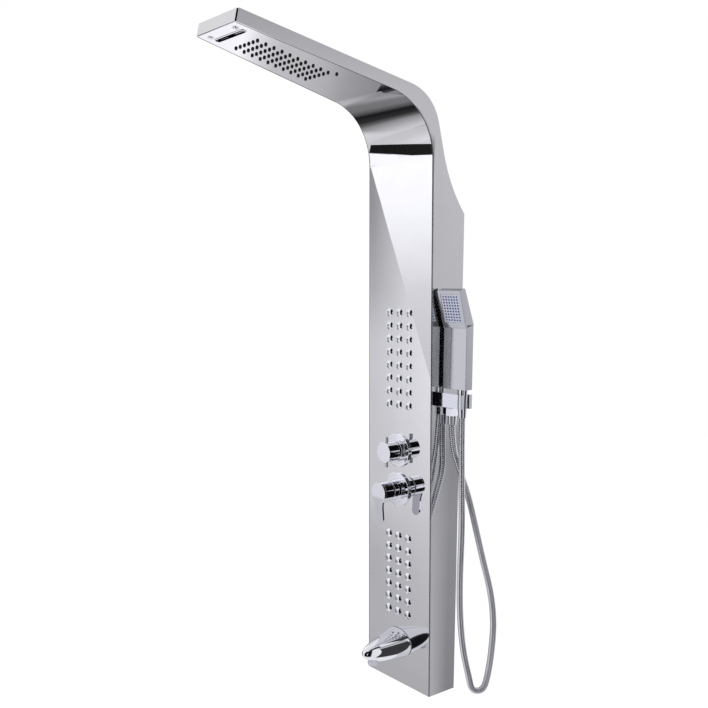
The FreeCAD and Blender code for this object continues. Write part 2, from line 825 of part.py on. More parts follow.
def set_screw():
    screw = pin_along_y(set_screw_radius, -spindle_radius + 1, -grip_radius + 1.5, set_screw_out)
    return on_face(screw, 0, diverter_height)


# ------------------------------------------------------------------ lever mixer
def mixer_sleeve():
    inner = grip_radius - sleeve_wall
    sleeve = ring([(inner, flange_height), (grip_radius, flange_height), (grip_radius, sleeve_front - 1),
                   (grip_radius - 1, sleeve_front), (inner, sleeve_front)])
    return on_face(sleeve, 0, mixer_height)


def mixer_stem():
    """The cartridge's stem: a fork that carries the lever's cross pin."""
    top = handle_pivot_out + 4.5
    floor = handle_pivot_out - tongue_height / 2 - 1
    stem = cylinder(stem_radius, -valve_depth + 2 * valve_wall, top)
    gap = tongue_thickness / 2 + slip
    stem = stem.cut(box(-gap, gap, -stem_radius, stem_radius, floor, top))
    return on_face(stem.cut(pivot_cylinder(pivot_pin_radius, 2 * stem_radius)), 0, mixer_height)


def pivot_cylinder(radius, half):
    """A cylinder along the axis on which the lever lifts."""
    return Part.makeCylinder(radius, 2 * half, V(-half, 0, handle_pivot_out), V(1, 0, 0))


def lever_pin():
    half = math.sqrt(stem_radius ** 2 - pivot_pin_radius ** 2)
    return on_face(pivot_cylinder(pivot_pin_radius, half), 0, mixer_height)


def mixer_lever():
    """The lever: a round hub with a flat face and a paddle that hangs from it."""
    r, edge, front = grip_radius, grip_edge, handle_front
    hub = ring([(0, handle_start), (r, handle_start), (r, front - edge), (r - edge, front), (0, front)])
    hub = hub.fuse(paddle())
    hub = hub.cut(Part.makeSphere(handle_ball, V(0, 0, handle_pivot_out)))
    half, high, out = tongue_thickness / 2, tongue_height / 2, handle_pivot_out
    tongue = box(-half, half, -high, high, out, out + handle_ball + 1)
    tongue = tongue.fuse(pivot_cylinder(high, half))
    eye = pivot_cylinder(pivot_pin_radius + fit, tongue_thickness)
    return on_face(hub.fuse(tongue).cut(eye), 0, mixer_height)


def paddle():
    """The flat blade: as wide as the hub at its root, drawn in to a rounded end."""
    w, root, end = paddle_width / 2, paddle_root_width / 2, -paddle_length
    hang = -math.sqrt(grip_radius ** 2 - root ** 2)
    t = paddle_thickness
    knee = hang - paddle_draw_in
    flank = w + (root - w) * paddle_flank
    line = Part.LineSegment
    edges = [
        line(V(root, 0, 0), V(root, hang, 0)).toShape(),
        Part.Arc(V(root, hang, 0), V(flank, (hang + knee) / 2, 0), V(w, knee, 0)).toShape(),
        line(V(w, knee, 0), V(w, end + w, 0)).toShape(),
        Part.Arc(V(w, end + w, 0), V(0, end, 0), V(-w, end + w, 0)).toShape(),
        line(V(-w, end + w, 0), V(-w, knee, 0)).toShape(),
        Part.Arc(V(-w, knee, 0), V(-flank, (hang + knee) / 2, 0), V(-root, hang, 0)).toShape(),
        line(V(-root, hang, 0), V(-root, 0, 0)).toShape(),
        line(V(-root, 0, 0), V(root, 0, 0)).toShape(),
    ]
    blade = Part.Face(Part.Wire(edges)).extrude(V(0, 0, t))
    blade.translate(V(0, 0, handle_front - t))
    blade.rotate(V(0, hang, handle_front), V(1, 0, 0), paddle_lean)
    return blade


# ------------------------------------------------------------------ tub spout
def spout_section(s):
    """Half height, half width and drop of the spout's section at a share s of its length."""
    high = spout_half_height * (1 - 0.43 * s + 0.055 * s * s) * math.sqrt(1 - s ** 4)
    wide = high * (1 + (spout_half_width / spout_half_height - 1) * (1 - s))
    t = s / 0.75
    return high, wide, spout_droop * (2 * t - t * t)


def spout_body():
    wires = []
    for s in (0, 0.15, 0.3, 0.45, 0.6, 0.72, 0.82, 0.9, 0.955, 0.985, 0.998):
        high, wide, drop = spout_section(s)
        oval = Part.Ellipse(V(0, -drop, s * spout_length), wide * 1.0001, high)
        wires.append(Part.Wire(oval.toShape()))
    body = Part.makeLoft(wires, True, False)
    body = body.cut(cylinder(shank_radius + fit, -1, spout_shank_in))
    body = body.cut(cylinder(shank_bore, 0, aerator_out))
    body = body.cut(pin_along_y(aerator_radius + fit, -spout_half_height * 2, -aerator_seat, aerator_out))
    body = body.cut(pin_along_y(aerator_radius - 2, -aerator_seat - 1, -spout_droop, aerator_out))
    return on_face(body, 0, spout_height)


def spout_aerator():
    """The outlet insert: a ring with a perforated disc in it."""
    r, low, high = aerator_radius, -aerator_drop, -aerator_seat
    barrel = pin_along_y(r, low, high, aerator_out)
    barrel = barrel.cut(pin_along_y(r - 2, low - 1, low + 4, aerator_out))
    barrel = barrel.cut(pin_along_y(r - 2, low + 6, high + 1, aerator_out))
    holes = []
    for count, radius in ((6, 0.28 * r), (12, 0.57 * r)):
        for i in range(count):
            a = 2 * math.pi * i / count
            place = V(radius * math.cos(a), low + 2, aerator_out + radius * math.sin(a))
            holes.append(Part.makeCylinder(aerator_hole, 8, place, V(0, 1, 0)))
    return on_face(barrel.cut(holes), 0, spout_height)


def spout_shank():
    pipe = tube(shank_radius, shank_bore, -spout_shank_back, spout_shank_in)
    return on_face(pipe, 0, spout_height)


def spout_nut():
    front = -sheet - gasket_thickness
    nut = hexagon(spout_nut_flats, front - nut_thickness, front)
    return on_face(nut.cut(cylinder(shank_radius + fit, front - nut_thickness, front)), 0, spout_height)


def spout_gasket():
    gasket = tube(shank_radius + gasket_rim, shank_radius + slip, -sheet - gasket_thickness, -sheet)
    return on_face(gasket, 0, spout_height)


def spout_elbow():
    r, front, back = elbow_half, -spout_shank_back, -spout_shank_back - 2 * elbow_half
    block = box(-r, r, -r, r, back, front)
    block = block.cut(cylinder(tube_bore + 1, front - elbow_half, front))
    block = block.cut(Part.makeCylinder(tube_bore, 2 * r, V(0, 0, front - elbow_half), V(-1, 0, 0)))
    return on_face(block, 0, spout_height)


# ------------------------------------------------------------------ holder and outlet
def cone_radius(z):
    share = (z - cone_bottom) / (handset_bottom - cone_bottom)
    return cone_bottom_radius + (cone_top_radius - cone_bottom_radius) * share


def hand_shower_holder():
    """Brass fork on the right side wall that is also the hose's water outlet."""
    x0, x1 = column_width / 2, column_width / 2 + holder_length
    y0, y1 = -holder_front, -holder_front + holder_depth
    z0, z1 = holder_bottom, holder_bottom + holder_height
    block = box(x0, x1, y0, y1, z0, z1)
    outer = [e for e in block.Edges if e.BoundBox.XMin > x1 - 0.1]
    upright = [e for e in outer if e.BoundBox.ZLength > holder_height / 2]
    block = block.makeFillet(holder_edge, upright)
    y, z = holder_centre
    shank = Part.makeCylinder(holder_shank_radius, holder_shank_length, V(x0, y, z), V(-1, 0, 0))
    block = block.fuse(shank)
    low, high = cone_radius(z0) + slip, cone_radius(z1) + slip
    socket = Part.makeCone(low, high, holder_height, V(socket_x, socket_y, z0))
    slot = box(socket_x, x1 + 1, socket_y - socket_slot / 2, socket_y + socket_slot / 2, z0 - 1, z1 + 1)
    length = outlet_x - x0 + holder_shank_length - holder_shank_wall
    along = Part.makeCylinder(waterway, length, V(outlet_x, y, z), V(-1, 0, 0))
    sideways = Part.makeCylinder(waterway, abs(outlet_y - y), V(outlet_x, y, z), V(0, -1, 0))
    down = Part.makeCylinder(waterway, z - z0, V(outlet_x, outlet_y, z0))
    feed = Part.makeCylinder(tube_bore, holder_shank_radius, V(feed_x, y, z), V(0, 0, -1))
    nipple = cylinder(nipple_radius, z0 - nipple_length, z0, outlet_x, outlet_y)
    down = down.fuse(cylinder(waterway, z0 - nipple_length, z0, outlet_x, outlet_y))
    return block.fuse(nipple).cut([socket, slot, along, sideways, down, feed])


def holder_nut():
    nut = hexagon(holder_nut_flats, 0, nut_thickness)
    nut = nut.cut(cylinder(holder_shank_radius + fit, 0, nut_thickness))
    nut.rotate(V(0, 0, 0), V(0, 1, 0), -90)
    nut.translate(V(column_width / 2 - sheet, *holder_centre))
    return nut


def outlet_nut():
    """The hose's lower union nut: a six-sided grip and a tapered tail."""
    high = holder_bottom - slip
    grip = hexagon(nut_flats, high - nut_grip, high)
    length = high - nut_grip - nut_bottom
    tail = Part.makeCone(nut_tail_radius, nut_tail_top_radius, length, V(0, 0, nut_bottom))
    nut = grip.fuse(tail)
    nut = nut.cut(cylinder(nipple_radius + fit, hose_end_in_nut, high))
    nut = nut.cut(cylinder(hose_radius + fit, nut_bottom, hose_end_in_nut))
    nut.translate(V(outlet_x, outlet_y, 0))
    return nut


# ------------------------------------------------------------------ hand shower
def at_socket(shape):
    placed = shape.copy()
    placed.rotate(V(0, 0, 0), V(0, 0, 1), handset_turn)
    placed.translate(V(socket_x, socket_y, 0))
    return placed


def in_head(shape):
    """Move a shape from head coordinates (x, back, up from its lower edge) to the tilted head."""
    placed = shape.copy()
    placed.rotate(V(0, 0, 0), V(1, 0, 0), head_tilt)
    placed.translate(V(0, -handset_front, head_bottom))
    return placed


def head_solid(inset):
    low, high = inset, head_length - inset
    front = inset
    points = [(front, low), (head_thickness - inset, low), (head_top_thickness - inset, high), (front, high)]
    half = handset_width / 2 - inset
    return in_head(yz_bar(points, half))


def handle_solid(inset):
    half = handset_width / 2 - inset
    front, back = -handset_front + inset, -handset_front + handset_depth - inset
    points = [V(-half, back, 0), V(half, back, 0), V(half, front + ridge_rise, 0), V(0, front, 0),
              V(-half, front + ridge_rise, 0)]
    face = Part.Face(Part.makePolygon(points + points[:1]))
    face.translate(V(0, 0, handset_bottom + 2 * inset))
    return face.extrude(V(0, 0, head_bottom + 8 - handset_bottom - 2 * inset))


def handset_body():
    """Hollow handle and head in one moulding, with a pocket for the spray plate."""
    outside = handle_solid(0).fuse(head_solid(0))
    boss = cylinder(handset_boss, handset_bottom, handset_bottom + handset_boss_height)
    cap = Part.makeCone(handset_boss, 2, handset_boss, V(0, 0, handset_bottom + handset_boss_height))
    outside = outside.fuse(boss).fuse(cap)
    inside = handle_solid(shell_wall).fuse(head_solid(2 * shell_wall))
    w, h = plate_width / 2, plate_length
    pocket = in_head(box(-w, w, -1, plate_recess + plate_thickness, plate_low, plate_low + h))
    rim = plate_ledge
    window = in_head(box(-w + rim, w - rim, 0, head_top_thickness / 2, plate_low + rim, plate_low + h - rim))
    bore = cylinder(inlet_pipe_radius + fit, handset_bottom - 1, handset_bottom + handset_boss_height)
    return at_socket(outside.cut([inside, pocket, window, bore]))


def spray_plate():
    w, h, gap = plate_width / 2 - slip / 2, plate_length - slip, slip / 2
    plate = box(-w, w, plate_recess, plate_recess + plate_thickness, plate_low + gap, plate_low + gap + h)
    holes = [Part.makeCylinder(spray_nub, 9, V(x, -1, z), V(0, 1, 0)) for x, z in spray_places()]
    return at_socket(in_head(plate.cut(holes)))


def spray_places():
    x0 = -(spray_columns - 1) / 2 * spray_pitch_x
    z0 = plate_low + plate_length / 2 - (spray_rows - 1) / 2 * spray_pitch_z
    xs = [x0 + c * spray_pitch_x for c in range(spray_columns)]
    return [(x, z0 + r * spray_pitch_z) for r in range(spray_rows) for x in xs]


def spray_mat():
    """The soft mat behind the plate, with a nub through every hole."""
    w = plate_width / 2 - plate_ledge - slip
    back, front = plate_recess + plate_thickness, plate_recess - nub_proud
    low, high = plate_low + plate_ledge + slip, plate_low + plate_length - plate_ledge - slip
    mat = box(-w, w, back, back + mat_thickness, low, high)
    nubs = [Part.makeCylinder(spray_nub, back - front, V(x, front, z), V(0, 1, 0)) for x, z in spray_places()]
    return at_socket(in_head(mat.multiFuse(nubs)))


def inlet_pipe():
    """The threaded inlet moulded into the handle's foot, reaching down into the cone nut."""
    low = handset_bottom - cone_thread
    pipe = tube(inlet_pipe_radius, waterway + 1, low, handset_bottom + handset_boss_height)
    return at_socket(pipe)


def cone_nut():
    """The hose's upper nut, a long cone that sits in the fork."""
    high = handset_bottom - slip
    nut = Part.makeCone(cone_bottom_radius, cone_top_radius, high - cone_bottom, V(0, 0, cone_bottom))
    nut = nut.cut(cylinder(inlet_pipe_radius + fit, hose_end_in_cone, high))
    return at_socket(nut.cut(cylinder(hose_radius + slip, cone_bottom, hose_end_in_cone)))


# ------------------------------------------------------------------ hose
def hose_points():
    top = V(socket_x, socket_y, hose_end_in_cone)
    bottom = V(outlet_x, outlet_y, hose_end_in_nut)
    down = V(0, 0, -1)
    middle = [V(*p) for p in hose_route]
    return [top, top + down * hose_first_run] + middle + [bottom + down * hose_last_run, bottom]


def hose_path():
    """Straight runs joined by tangent arcs: ("line", start, end) or ("arc", start, end, centre, ...)."""
    points = hose_points()
    pieces, last = [], points[0]
    for before, here, after in zip(points, points[1:], points[2:]):
        a, b = here - before, after - here
        turn = a.getAngle(b)
        reach = 0.45 * min(a.Length, b.Length)
        radius = reach / math.tan(turn / 2)
        a.normalize()
        b.normalize()
        start, end = here - a * reach, here + b * reach
        pieces.append(("line", last, start))
        inward = (b - a).normalize()
        centre = here + inward * (radius / math.cos(turn / 2))
        pieces.append(("arc", start, end, centre, radius, turn, a))
        print(f"hose turn {math.degrees(turn):.0f} degrees, radius {radius:.0f}")
        last = end
    pieces.append(("line", last, points[-1]))
    return pieces


def piece_length(piece):
    return (piece[2] - piece[1]).Length if piece[0] == "line" else piece[4] * piece[5]


def piece_at(piece, distance):
    """Point and direction at a distance along one run or arc."""
    if piece[0] == "line":
        direction = (piece[2] - piece[1]).normalize()
        return piece[1] + direction * distance, direction
    kind, start, end, centre, radius, turn, forward = piece
    angle = distance / radius
    outward = (start - centre).normalize()
    point = centre + outward * (radius * math.cos(angle)) + forward * (radius * math.sin(angle))
    return point, forward * math.cos(angle) - outward * math.sin(angle)


def circle_at(point, direction, radius):
    """A circle square to a direction whose first axis stays near the loop's normal."""
    side = hose_side - direction * direction.dot(hose_side)
    side.normalize()
    other = direction.cross(side)
    turn = FreeCAD.Matrix(side.x, other.x, direction.x, point.x, side.y, other.y, direction.y, point.y,
                          side.z, other.z, direction.z, point.z, 0, 0, 0, 1)
    wire = Part.Wire(Part.makeCircle(radius))
    wire.Placement = FreeCAD.Placement(turn)
    return wire


def at_length(pieces, distance):
    for piece in pieces[:-1]:
        length = piece_length(piece)
        if distance <= length:
            return piece_at(piece, distance)
        distance -= length
    return piece_at(pieces[-1], distance)


def shower_hose():
    """The spiral metal hose: ribs outside, a smooth bore inside, plain for one diameter at each end."""
    pieces = hose_path()
    total = sum(piece_length(p) for p in pieces)
    plain = 2 * hose_radius
    pitch = (total - 2 * plain) / hose_ribs
    outer = [(0, hose_radius), (plain, hose_radius)]
    floor = hose_radius - hose_groove
    for rib in range(hose_ribs):
        start = plain + rib * pitch
        for share, radius in ((0.1, floor), (0.3, floor), (0.45, hose_radius), (0.95, hose_radius)):
            outer.append((start + share * pitch, radius))
    outer.append((total, hose_radius))
    steps = int(total / plain)
    inner = [(total * i / steps, hose_bore) for i in range(steps + 1)]
    outer_wires = [circle_at(*at_length(pieces, d), r) for d, r in outer]
    inner_wires = [circle_at(*at_length(pieces, d), r) for d, r in inner]
    solid = Part.makeLoft(outer_wires, True, True)
    hollow = Part.makeLoft(inner_wires, True, True)
    hose = solid.cut(hollow)
    plain_volume = math.pi * (hose_radius ** 2 - hose_bore ** 2) * total
    print(f"hose length {total:.0f}, volume {hose.Volume / 1000:.1f} of about {plain_volume / 1000:.1f} cm3")
    return hose


# ------------------------------------------------------------------ water tubes inside the column
def face_point(x, height, out):
    return V(x, -column_depth, 0) + face_up * height + face_out * out


def arm_point(x, along, down):
    return V(x, 0, underside_height) + arm_along * along + arm_down * down


def water_tube(points, bends):
    """A tube on straight runs with a bend of its own radius at each corner."""
    edges, last = [], points[0]
    for before, here, after, bend in zip(points, points[1:], points[2:], bends):
        a, b = (here - before).normalize(), (after - here).normalize()
        turn = a.getAngle(b)
        reach = bend * math.tan(turn / 2)
        start, end = here - a * reach, here + b * reach
        centre = here + (b - a).normalize() * (bend / math.cos(turn / 2))
        edges.append(Part.LineSegment(last, start).toShape())
        edges.append(Part.Arc(start, centre + (here - centre).normalize() * bend, end).toShape())
        last = end
    edges.append(Part.LineSegment(last, points[-1]).toShape())
    path = Part.Wire(edges)
    direction = (points[1] - points[0]).normalize()
    outer = path.makePipeShell([Part.Wire(Part.makeCircle(tube_radius, points[0], direction))], True, False)
    inner = path.makePipeShell([Part.Wire(Part.makeCircle(tube_bore, points[0], direction))], True, False)
    return outer.cut(inner)


def bend_corner(x, column_out, arm_out):
    """Where a tube's runs up the column and along the arm would meet."""
    a, b = face_point(x, 0, column_out), arm_point(x, 0, arm_out)
    y, z = meet((a.y, a.z), 90 + front_lean, (b.y, b.z), 180 - arm_rise)
    return V(x, y, z)


def waterfall_tube():
    """Up beside the upper water box and round the bend to the waterfall outlet."""
    lane, port = tube_lane, diverter_height + port_offset
    return water_tube(
        [face_point(valve_radius, port, -port_depth),
         face_point(lane, port, -port_depth),
         face_point(lane, port + 6 * tube_bend, -tube_lane_depth),
         bend_corner(lane, -tube_lane_depth, -tube_arm_depth),
         arm_point(lane, slot_along - slot_width / 2 - waterfall_margin, -tube_arm_depth)],
        (tube_bend, 6 * tube_bend, tube_arm_bend),
    )


def rain_tube():
    """Up beside the upper water box, in above it, and round the bend to the rain chamber."""
    lane, inner_lane, port = -tube_lane, -rain_tube_port, diverter_height + port_offset
    box_top = upper_jet_top + manifold_margin
    return water_tube(
        [face_point(-valve_radius, port, -port_depth),
         face_point(lane, port, -port_depth),
         face_point(lane, port + 6 * tube_bend, -tube_lane_depth),
         face_point(lane, box_top + 2 * tube_bend, -tube_lane_depth),
         face_point(inner_lane, box_top + 5 * tube_bend, -tube_lane_depth),
         bend_corner(inner_lane, -tube_lane_depth, -tube_arm_depth),
         arm_point(inner_lane, rain_span()[2], -tube_arm_depth)],
        (tube_bend, 6 * tube_bend, 2 * tube_bend, 2 * tube_bend, tube_arm_bend),
    )


def upper_jet_tube():
    """Straight up from the diverter to the upper water box."""
    low = upper_jet_top - (upper_jet_rows - 1) * jet_pitch - manifold_margin
    start = face_point(0, diverter_height + valve_radius, -port_depth)
    return water_tube([start, face_point(0, low, -port_depth)], ())


def jet_link_tube():
    x, back = -link_lane, manifold_front - manifold_depth
    high, low = link_height(upper_jet_top, upper_jet_rows), link_height(lower_jet_top, lower_jet_rows)
    return water_tube(
        [face_point(x, high, back), face_point(x, high, -link_depth), face_point(x, low, -link_depth),
         face_point(x, low, back)],
        (tube_bend, tube_bend),
    )


def spout_tube():
    lane, start = -tube_lane, diverter_height - port_offset
    deep = -spout_shank_back - elbow_half
    return water_tube(
        [face_point(-valve_radius, start, -port_depth), face_point(lane, start, -port_depth),
         face_point(lane, spout_height, deep), face_point(-elbow_half, spout_height, deep)],
        (tube_bend, tube_bend),
    )


def hand_shower_tube():
    start = diverter_height - port_offset
    y, z = holder_centre
    return water_tube(
        [face_point(valve_radius, start, -port_depth), face_point(feed_x, start, -port_depth),
         face_point(feed_x, start + 4 * tube_bend, -port_depth), V(feed_x, y, z - 2 * tube_bend),
         V(feed_x, y, z - holder_shank_radius)],
        (tube_bend, tube_bend, tube_bend),
    )


def valve_link_tube():
    return water_tube([face_point(0, mixer_height + valve_radius, -port_depth),
                       face_point(0, diverter_height - valve_radius, -port_depth)], ())


# ------------------------------------------------------------------ all pieces
save("front_sheet", front_sheet())
save("side_panel_left", side_panel(-1))
save("side_panel_right", side_panel(1))
save("arm_cover", arm_cover())
save("arm_end_cap", arm_end_cap())
fixing_heights = (fixing_lower_height, fixing_lower_height + fixing_spacing_z)
save("wall_rails", Part.makeCompound([wall_rail(height) for height in fixing_heights]))
save("hook_channels", Part.makeCompound([hook_channel(height) for height in fixing_heights]))

for name, top, rows in (("upper", upper_jet_top, upper_jet_rows), ("lower", lower_jet_top, lower_jet_rows)):
    save(f"{name}_jet_faces", at_jets(jet_face(), top, rows))
    save(f"{name}_jet_nozzles", at_jets(jet_insert(), top, rows))
    save(f"{name}_jet_nuts", at_jets(jet_nut(), top, rows))
    save(f"{name}_water_box", manifold(top, rows))

save("rain_nozzle_mat", rain_mat())
save("rain_chamber", rain_chamber())
save("waterfall_outlet", waterfall_box())
save("arm_tip_screws", tip_screws())

save("diverter_valve_body", diverter_body())
save("diverter_cartridge", cartridge(spindle_radius, diverter_height))
save("diverter_bonnet", bonnet(spindle_radius, diverter_height))
save("diverter_flange", flange(diverter_height))
save("diverter_collar", diverter_collar())
save("diverter_spindle", diverter_spindle())
save("diverter_knob", diverter_knob())
save("diverter_knob_pins", knob_pins())
save("diverter_set_screw", set_screw())

save("mixer_valve_body", mixer_body())
save("mixer_cartridge", cartridge(stem_radius, mixer_height))
save("mixer_bonnet", bonnet(stem_radius, mixer_height))
save("mixer_flange", flange(mixer_height))
save("mixer_sleeve", mixer_sleeve())
save("mixer_stem", mixer_stem())
save("mixer_lever_pin", lever_pin())
save("mixer_lever", mixer_lever())

save("spout_body", spout_body())
save("spout_aerator", spout_aerator())
save("spout_shank", spout_shank())
save("spout_gasket", spout_gasket())
save("spout_nut", spout_nut())
save("spout_elbow", spout_elbow())

save("hand_shower_holder", hand_shower_holder())
save("holder_nut", holder_nut())
save("hose_outlet_nut", outlet_nut())
save("hand_shower_body", handset_body())
save("spray_plate", spray_plate())
save("spray_nozzle_mat", spray_mat())
save("hand_shower_inlet", inlet_pipe())
save("hose_cone_nut", cone_nut())
save("shower_hose", shower_hose())

save("waterfall_tube", waterfall_tube())
save("rain_tube", rain_tube())
save("upper_jet_tube", upper_jet_tube())
save("jet_link_tube", jet_link_tube())
save("spout_tube", spout_tube())
save("hand_shower_tube", hand_shower_tube())
save("valve_link_tube", valve_link_tube())
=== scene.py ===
"""Shower panel column: its finishes and its finer shapes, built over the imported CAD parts.

Metres, in the CAD's frame: X to the right, -Y out of the wall, Z up from the middle of the wall screws.
"""
import json
import math

import bmesh
import bpy
from bpy.props import FloatProperty, FloatVectorProperty, IntProperty, PointerProperty
from mathutils import Matrix, Vector


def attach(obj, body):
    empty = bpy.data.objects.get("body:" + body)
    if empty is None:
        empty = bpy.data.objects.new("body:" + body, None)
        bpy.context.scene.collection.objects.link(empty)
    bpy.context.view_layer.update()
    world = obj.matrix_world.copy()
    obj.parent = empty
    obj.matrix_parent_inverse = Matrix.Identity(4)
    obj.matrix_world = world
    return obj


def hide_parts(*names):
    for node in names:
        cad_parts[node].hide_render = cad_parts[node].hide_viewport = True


bl_info = {
    "name": "Shower Panel Column",
    "version": (1, 0, 0),
    "blender": (4, 5, 0),
    "location": "3D View > Sidebar > Shower Panel",
    "description": "Builds the looks of a bent steel shower panel over its CAD parts",
    "category": "Object",
}

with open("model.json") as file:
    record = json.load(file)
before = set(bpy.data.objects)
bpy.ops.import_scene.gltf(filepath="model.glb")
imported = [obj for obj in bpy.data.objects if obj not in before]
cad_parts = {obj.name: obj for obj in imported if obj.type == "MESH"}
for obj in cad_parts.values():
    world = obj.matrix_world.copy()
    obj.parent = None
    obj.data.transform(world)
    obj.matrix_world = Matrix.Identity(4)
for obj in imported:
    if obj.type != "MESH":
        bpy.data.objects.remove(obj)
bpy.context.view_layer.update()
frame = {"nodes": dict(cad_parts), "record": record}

MM = 0.001
LEAN = math.radians(1.0)      # the front face leans out of the wall by this
FACE_DEPTH = 75.3             # the front face's distance from the wall at the column's foot
FOOT = -530.0                 # the column's foot below the origin
FACE_UP = Vector((0, -math.sin(LEAN), math.cos(LEAN)))
FACE_OUT = Vector((0, -math.cos(LEAN), -math.sin(LEAN)))
RISE = math.radians(11.3)     # the arm rises out of the wall by this
UNDERSIDE = 1226.2            # where the arm's underside would meet the wall, above the foot
ARM_ALONG = Vector((0, -math.cos(RISE), math.sin(RISE)))
ARM_DOWN = Vector((0, -math.sin(RISE), -math.cos(RISE)))
STEEL_SHARE = 0.67            # the share of light that the polished steel gives back
DIVERTER_UP = 523.0           # each fitting's axis, up the front face from its foot
MIXER_UP = 437.0
SPOUT_UP = 91.6
UPPER_JETS_UP = 823.0         # the top row of each field of body jets
LOWER_JETS_UP = 332.0
GRIP_RADIUS = 22.0            # of the mixer's sleeve and its lever's hub
SPOUT_REACH = 102.0
TIP_SCREWS = ((-43.5, 539.0), (43.5, 539.0))      # across and along the arm
HANDSET_AXIS = (134.0, -28.0)                     # X and Y of the hand shower's socket
HANDSET_TURN = math.radians(5)
HEAD_TILT = math.radians(16)


# ------------------------------------------------------------------ colours and sizes
def linear(hex_colour):
    """An sRGB hex colour as the linear numbers that a shader takes."""
    channels = [int(hex_colour[i:i + 2], 16) / 255 for i in (0, 2, 4)]
    return tuple(c / 12.92 if c <= 0.04045 else ((c + 0.055) / 1.055) ** 2.4 for c in channels) + (1.0,)


def colour_setting(name, description, hex_colour):
    return FloatVectorProperty(name=name, description=description, default=linear(hex_colour), size=4,
                               subtype="COLOR", min=0, max=1)


def length_setting(name, description, millimetres):
    return FloatProperty(name=name, description=description, default=millimetres * MM, unit="LENGTH", min=0,
                         precision=5)


class ShowerPanelColours(bpy.types.PropertyGroup):
    stainless: colour_setting("Stainless sheet", "Polished steel of the column and the arm", "D6D6D9")
    chrome: colour_setting("Chrome", "Bright chrome plate of the fittings", "E2E3EA")
    silver_abs: colour_setting("Hand shower", "Silver-plated ABS of the hand shower", "C3C4CB")
    brass: colour_setting("Brass", "Machined brass of the valve bodies", "C9A866")
    zinc: colour_setting("Zinc plate", "Zinc-plated steel of the rails and nuts", "A9ACB0")
    silicone: colour_setting("Dark silicone", "Soft nozzles of the rain field, and the gasket", "18181B")
    jet_silicone: colour_setting("Jet silicone", "Soft nozzles of the body jets", "B4B5BD")
    blue_silicone: colour_setting("Blue silicone", "Soft nozzles of the hand shower", "50559C")
    spray_plate: colour_setting("Spray plate", "Moulded ABS plate of the hand shower", "D3D6DE")
    grey_abs: colour_setting("Grey ABS", "Water boxes and cartridges", "8E9094")
    white_tube: colour_setting("Tubing", "Polyethylene water tubes", "DCDBD6")


class ShowerPanelSizes(bpy.types.PropertyGroup):
    hose_diameter: length_setting("Hose diameter", "Over the ribs of the metal hose", 14)
    hose_rib_pitch: length_setting("Rib pitch", "From one rib of the hose to the next", 4.2)
    hose_rib_depth: length_setting("Rib depth", "How deep the groove between two ribs is", 0.7)
    jet_diameter: length_setting("Jet diameter", "Across the dome of a body jet", 18.6)
    jet_height: length_setting("Jet height", "How far a body jet's dome stands out", 5)
    jet_pitch: length_setting("Jet pitch", "From one row of body jets to the next", 28.5)
    jet_spacing: length_setting("Jet spacing", "From one column of body jets to the next", 31.2)
    upper_jet_rows: IntProperty(name="Upper rows", description="Rows above the diverter", default=8, min=1)
    lower_jet_rows: IntProperty(name="Lower rows", description="Rows below the mixer", default=7, min=1)
    edge_round: length_setting("Edge rounding", "Radius on the edges of the cast and moulded pieces", 0.7)
    bead_radius: length_setting("Edge bead", "Radius of the edge lines between front and side walls", 0.9)
    rain_nozzle_height: length_setting("Rain nozzle", "How far a rain nozzle stands out of the arm", 3.2)
    sheet_round: length_setting("Sheet edge rounding", "Radius on the dressed edges of the sheet", 0.3)


# ------------------------------------------------------------------ materials
def add(tree, kind, inputs=None, **settings):
    """Add a node, set its properties, and fill its inputs with values or links."""
    made = tree.nodes.new(kind)
    for name, value in settings.items():
        setattr(made, name, value)
    for key, value in (inputs or {}).items():
        if isinstance(value, bpy.types.NodeSocket):
            tree.links.new(value, made.inputs[key])
        else:
            made.inputs[key].default_value = value
    return made


def empty_tree(owner):
    """The node tree of a material or a world, with nothing in it."""
    owner.use_nodes = True
    owner.node_tree.nodes.clear()
    return owner.node_tree


def start_material(name):
    """A new material, its node tree, and object coordinates to place patterns by."""
    material = bpy.data.materials.new(name)
    tree = empty_tree(material)
    return material, tree, add(tree, "ShaderNodeTexCoord").outputs["Object"]


def noise(tree, place, wavelength, detail=3.0, roughness=0.5, stretch=(1, 1, 1)):
    """Noise whose blotches are about a wavelength across, in millimetres, stretched along each axis."""
    mapping = add(tree, "ShaderNodeMapping", {"Vector": place, "Scale": tuple(1 / s for s in stretch)})
    inputs = {"Vector": mapping.outputs["Vector"], "Scale": 1 / (wavelength * MM), "Detail": detail,
              "Roughness": roughness}
    return add(tree, "ShaderNodeTexNoise", inputs).outputs["Fac"]


def scaled(colour, share):
    """The colour with its light multiplied by a share."""
    return tuple(c * share for c in colour[:3]) + (1.0,)


NOISE_SPAN = {"From Min": 0.3, "From Max": 0.7}      # most of a noise's values lie between these


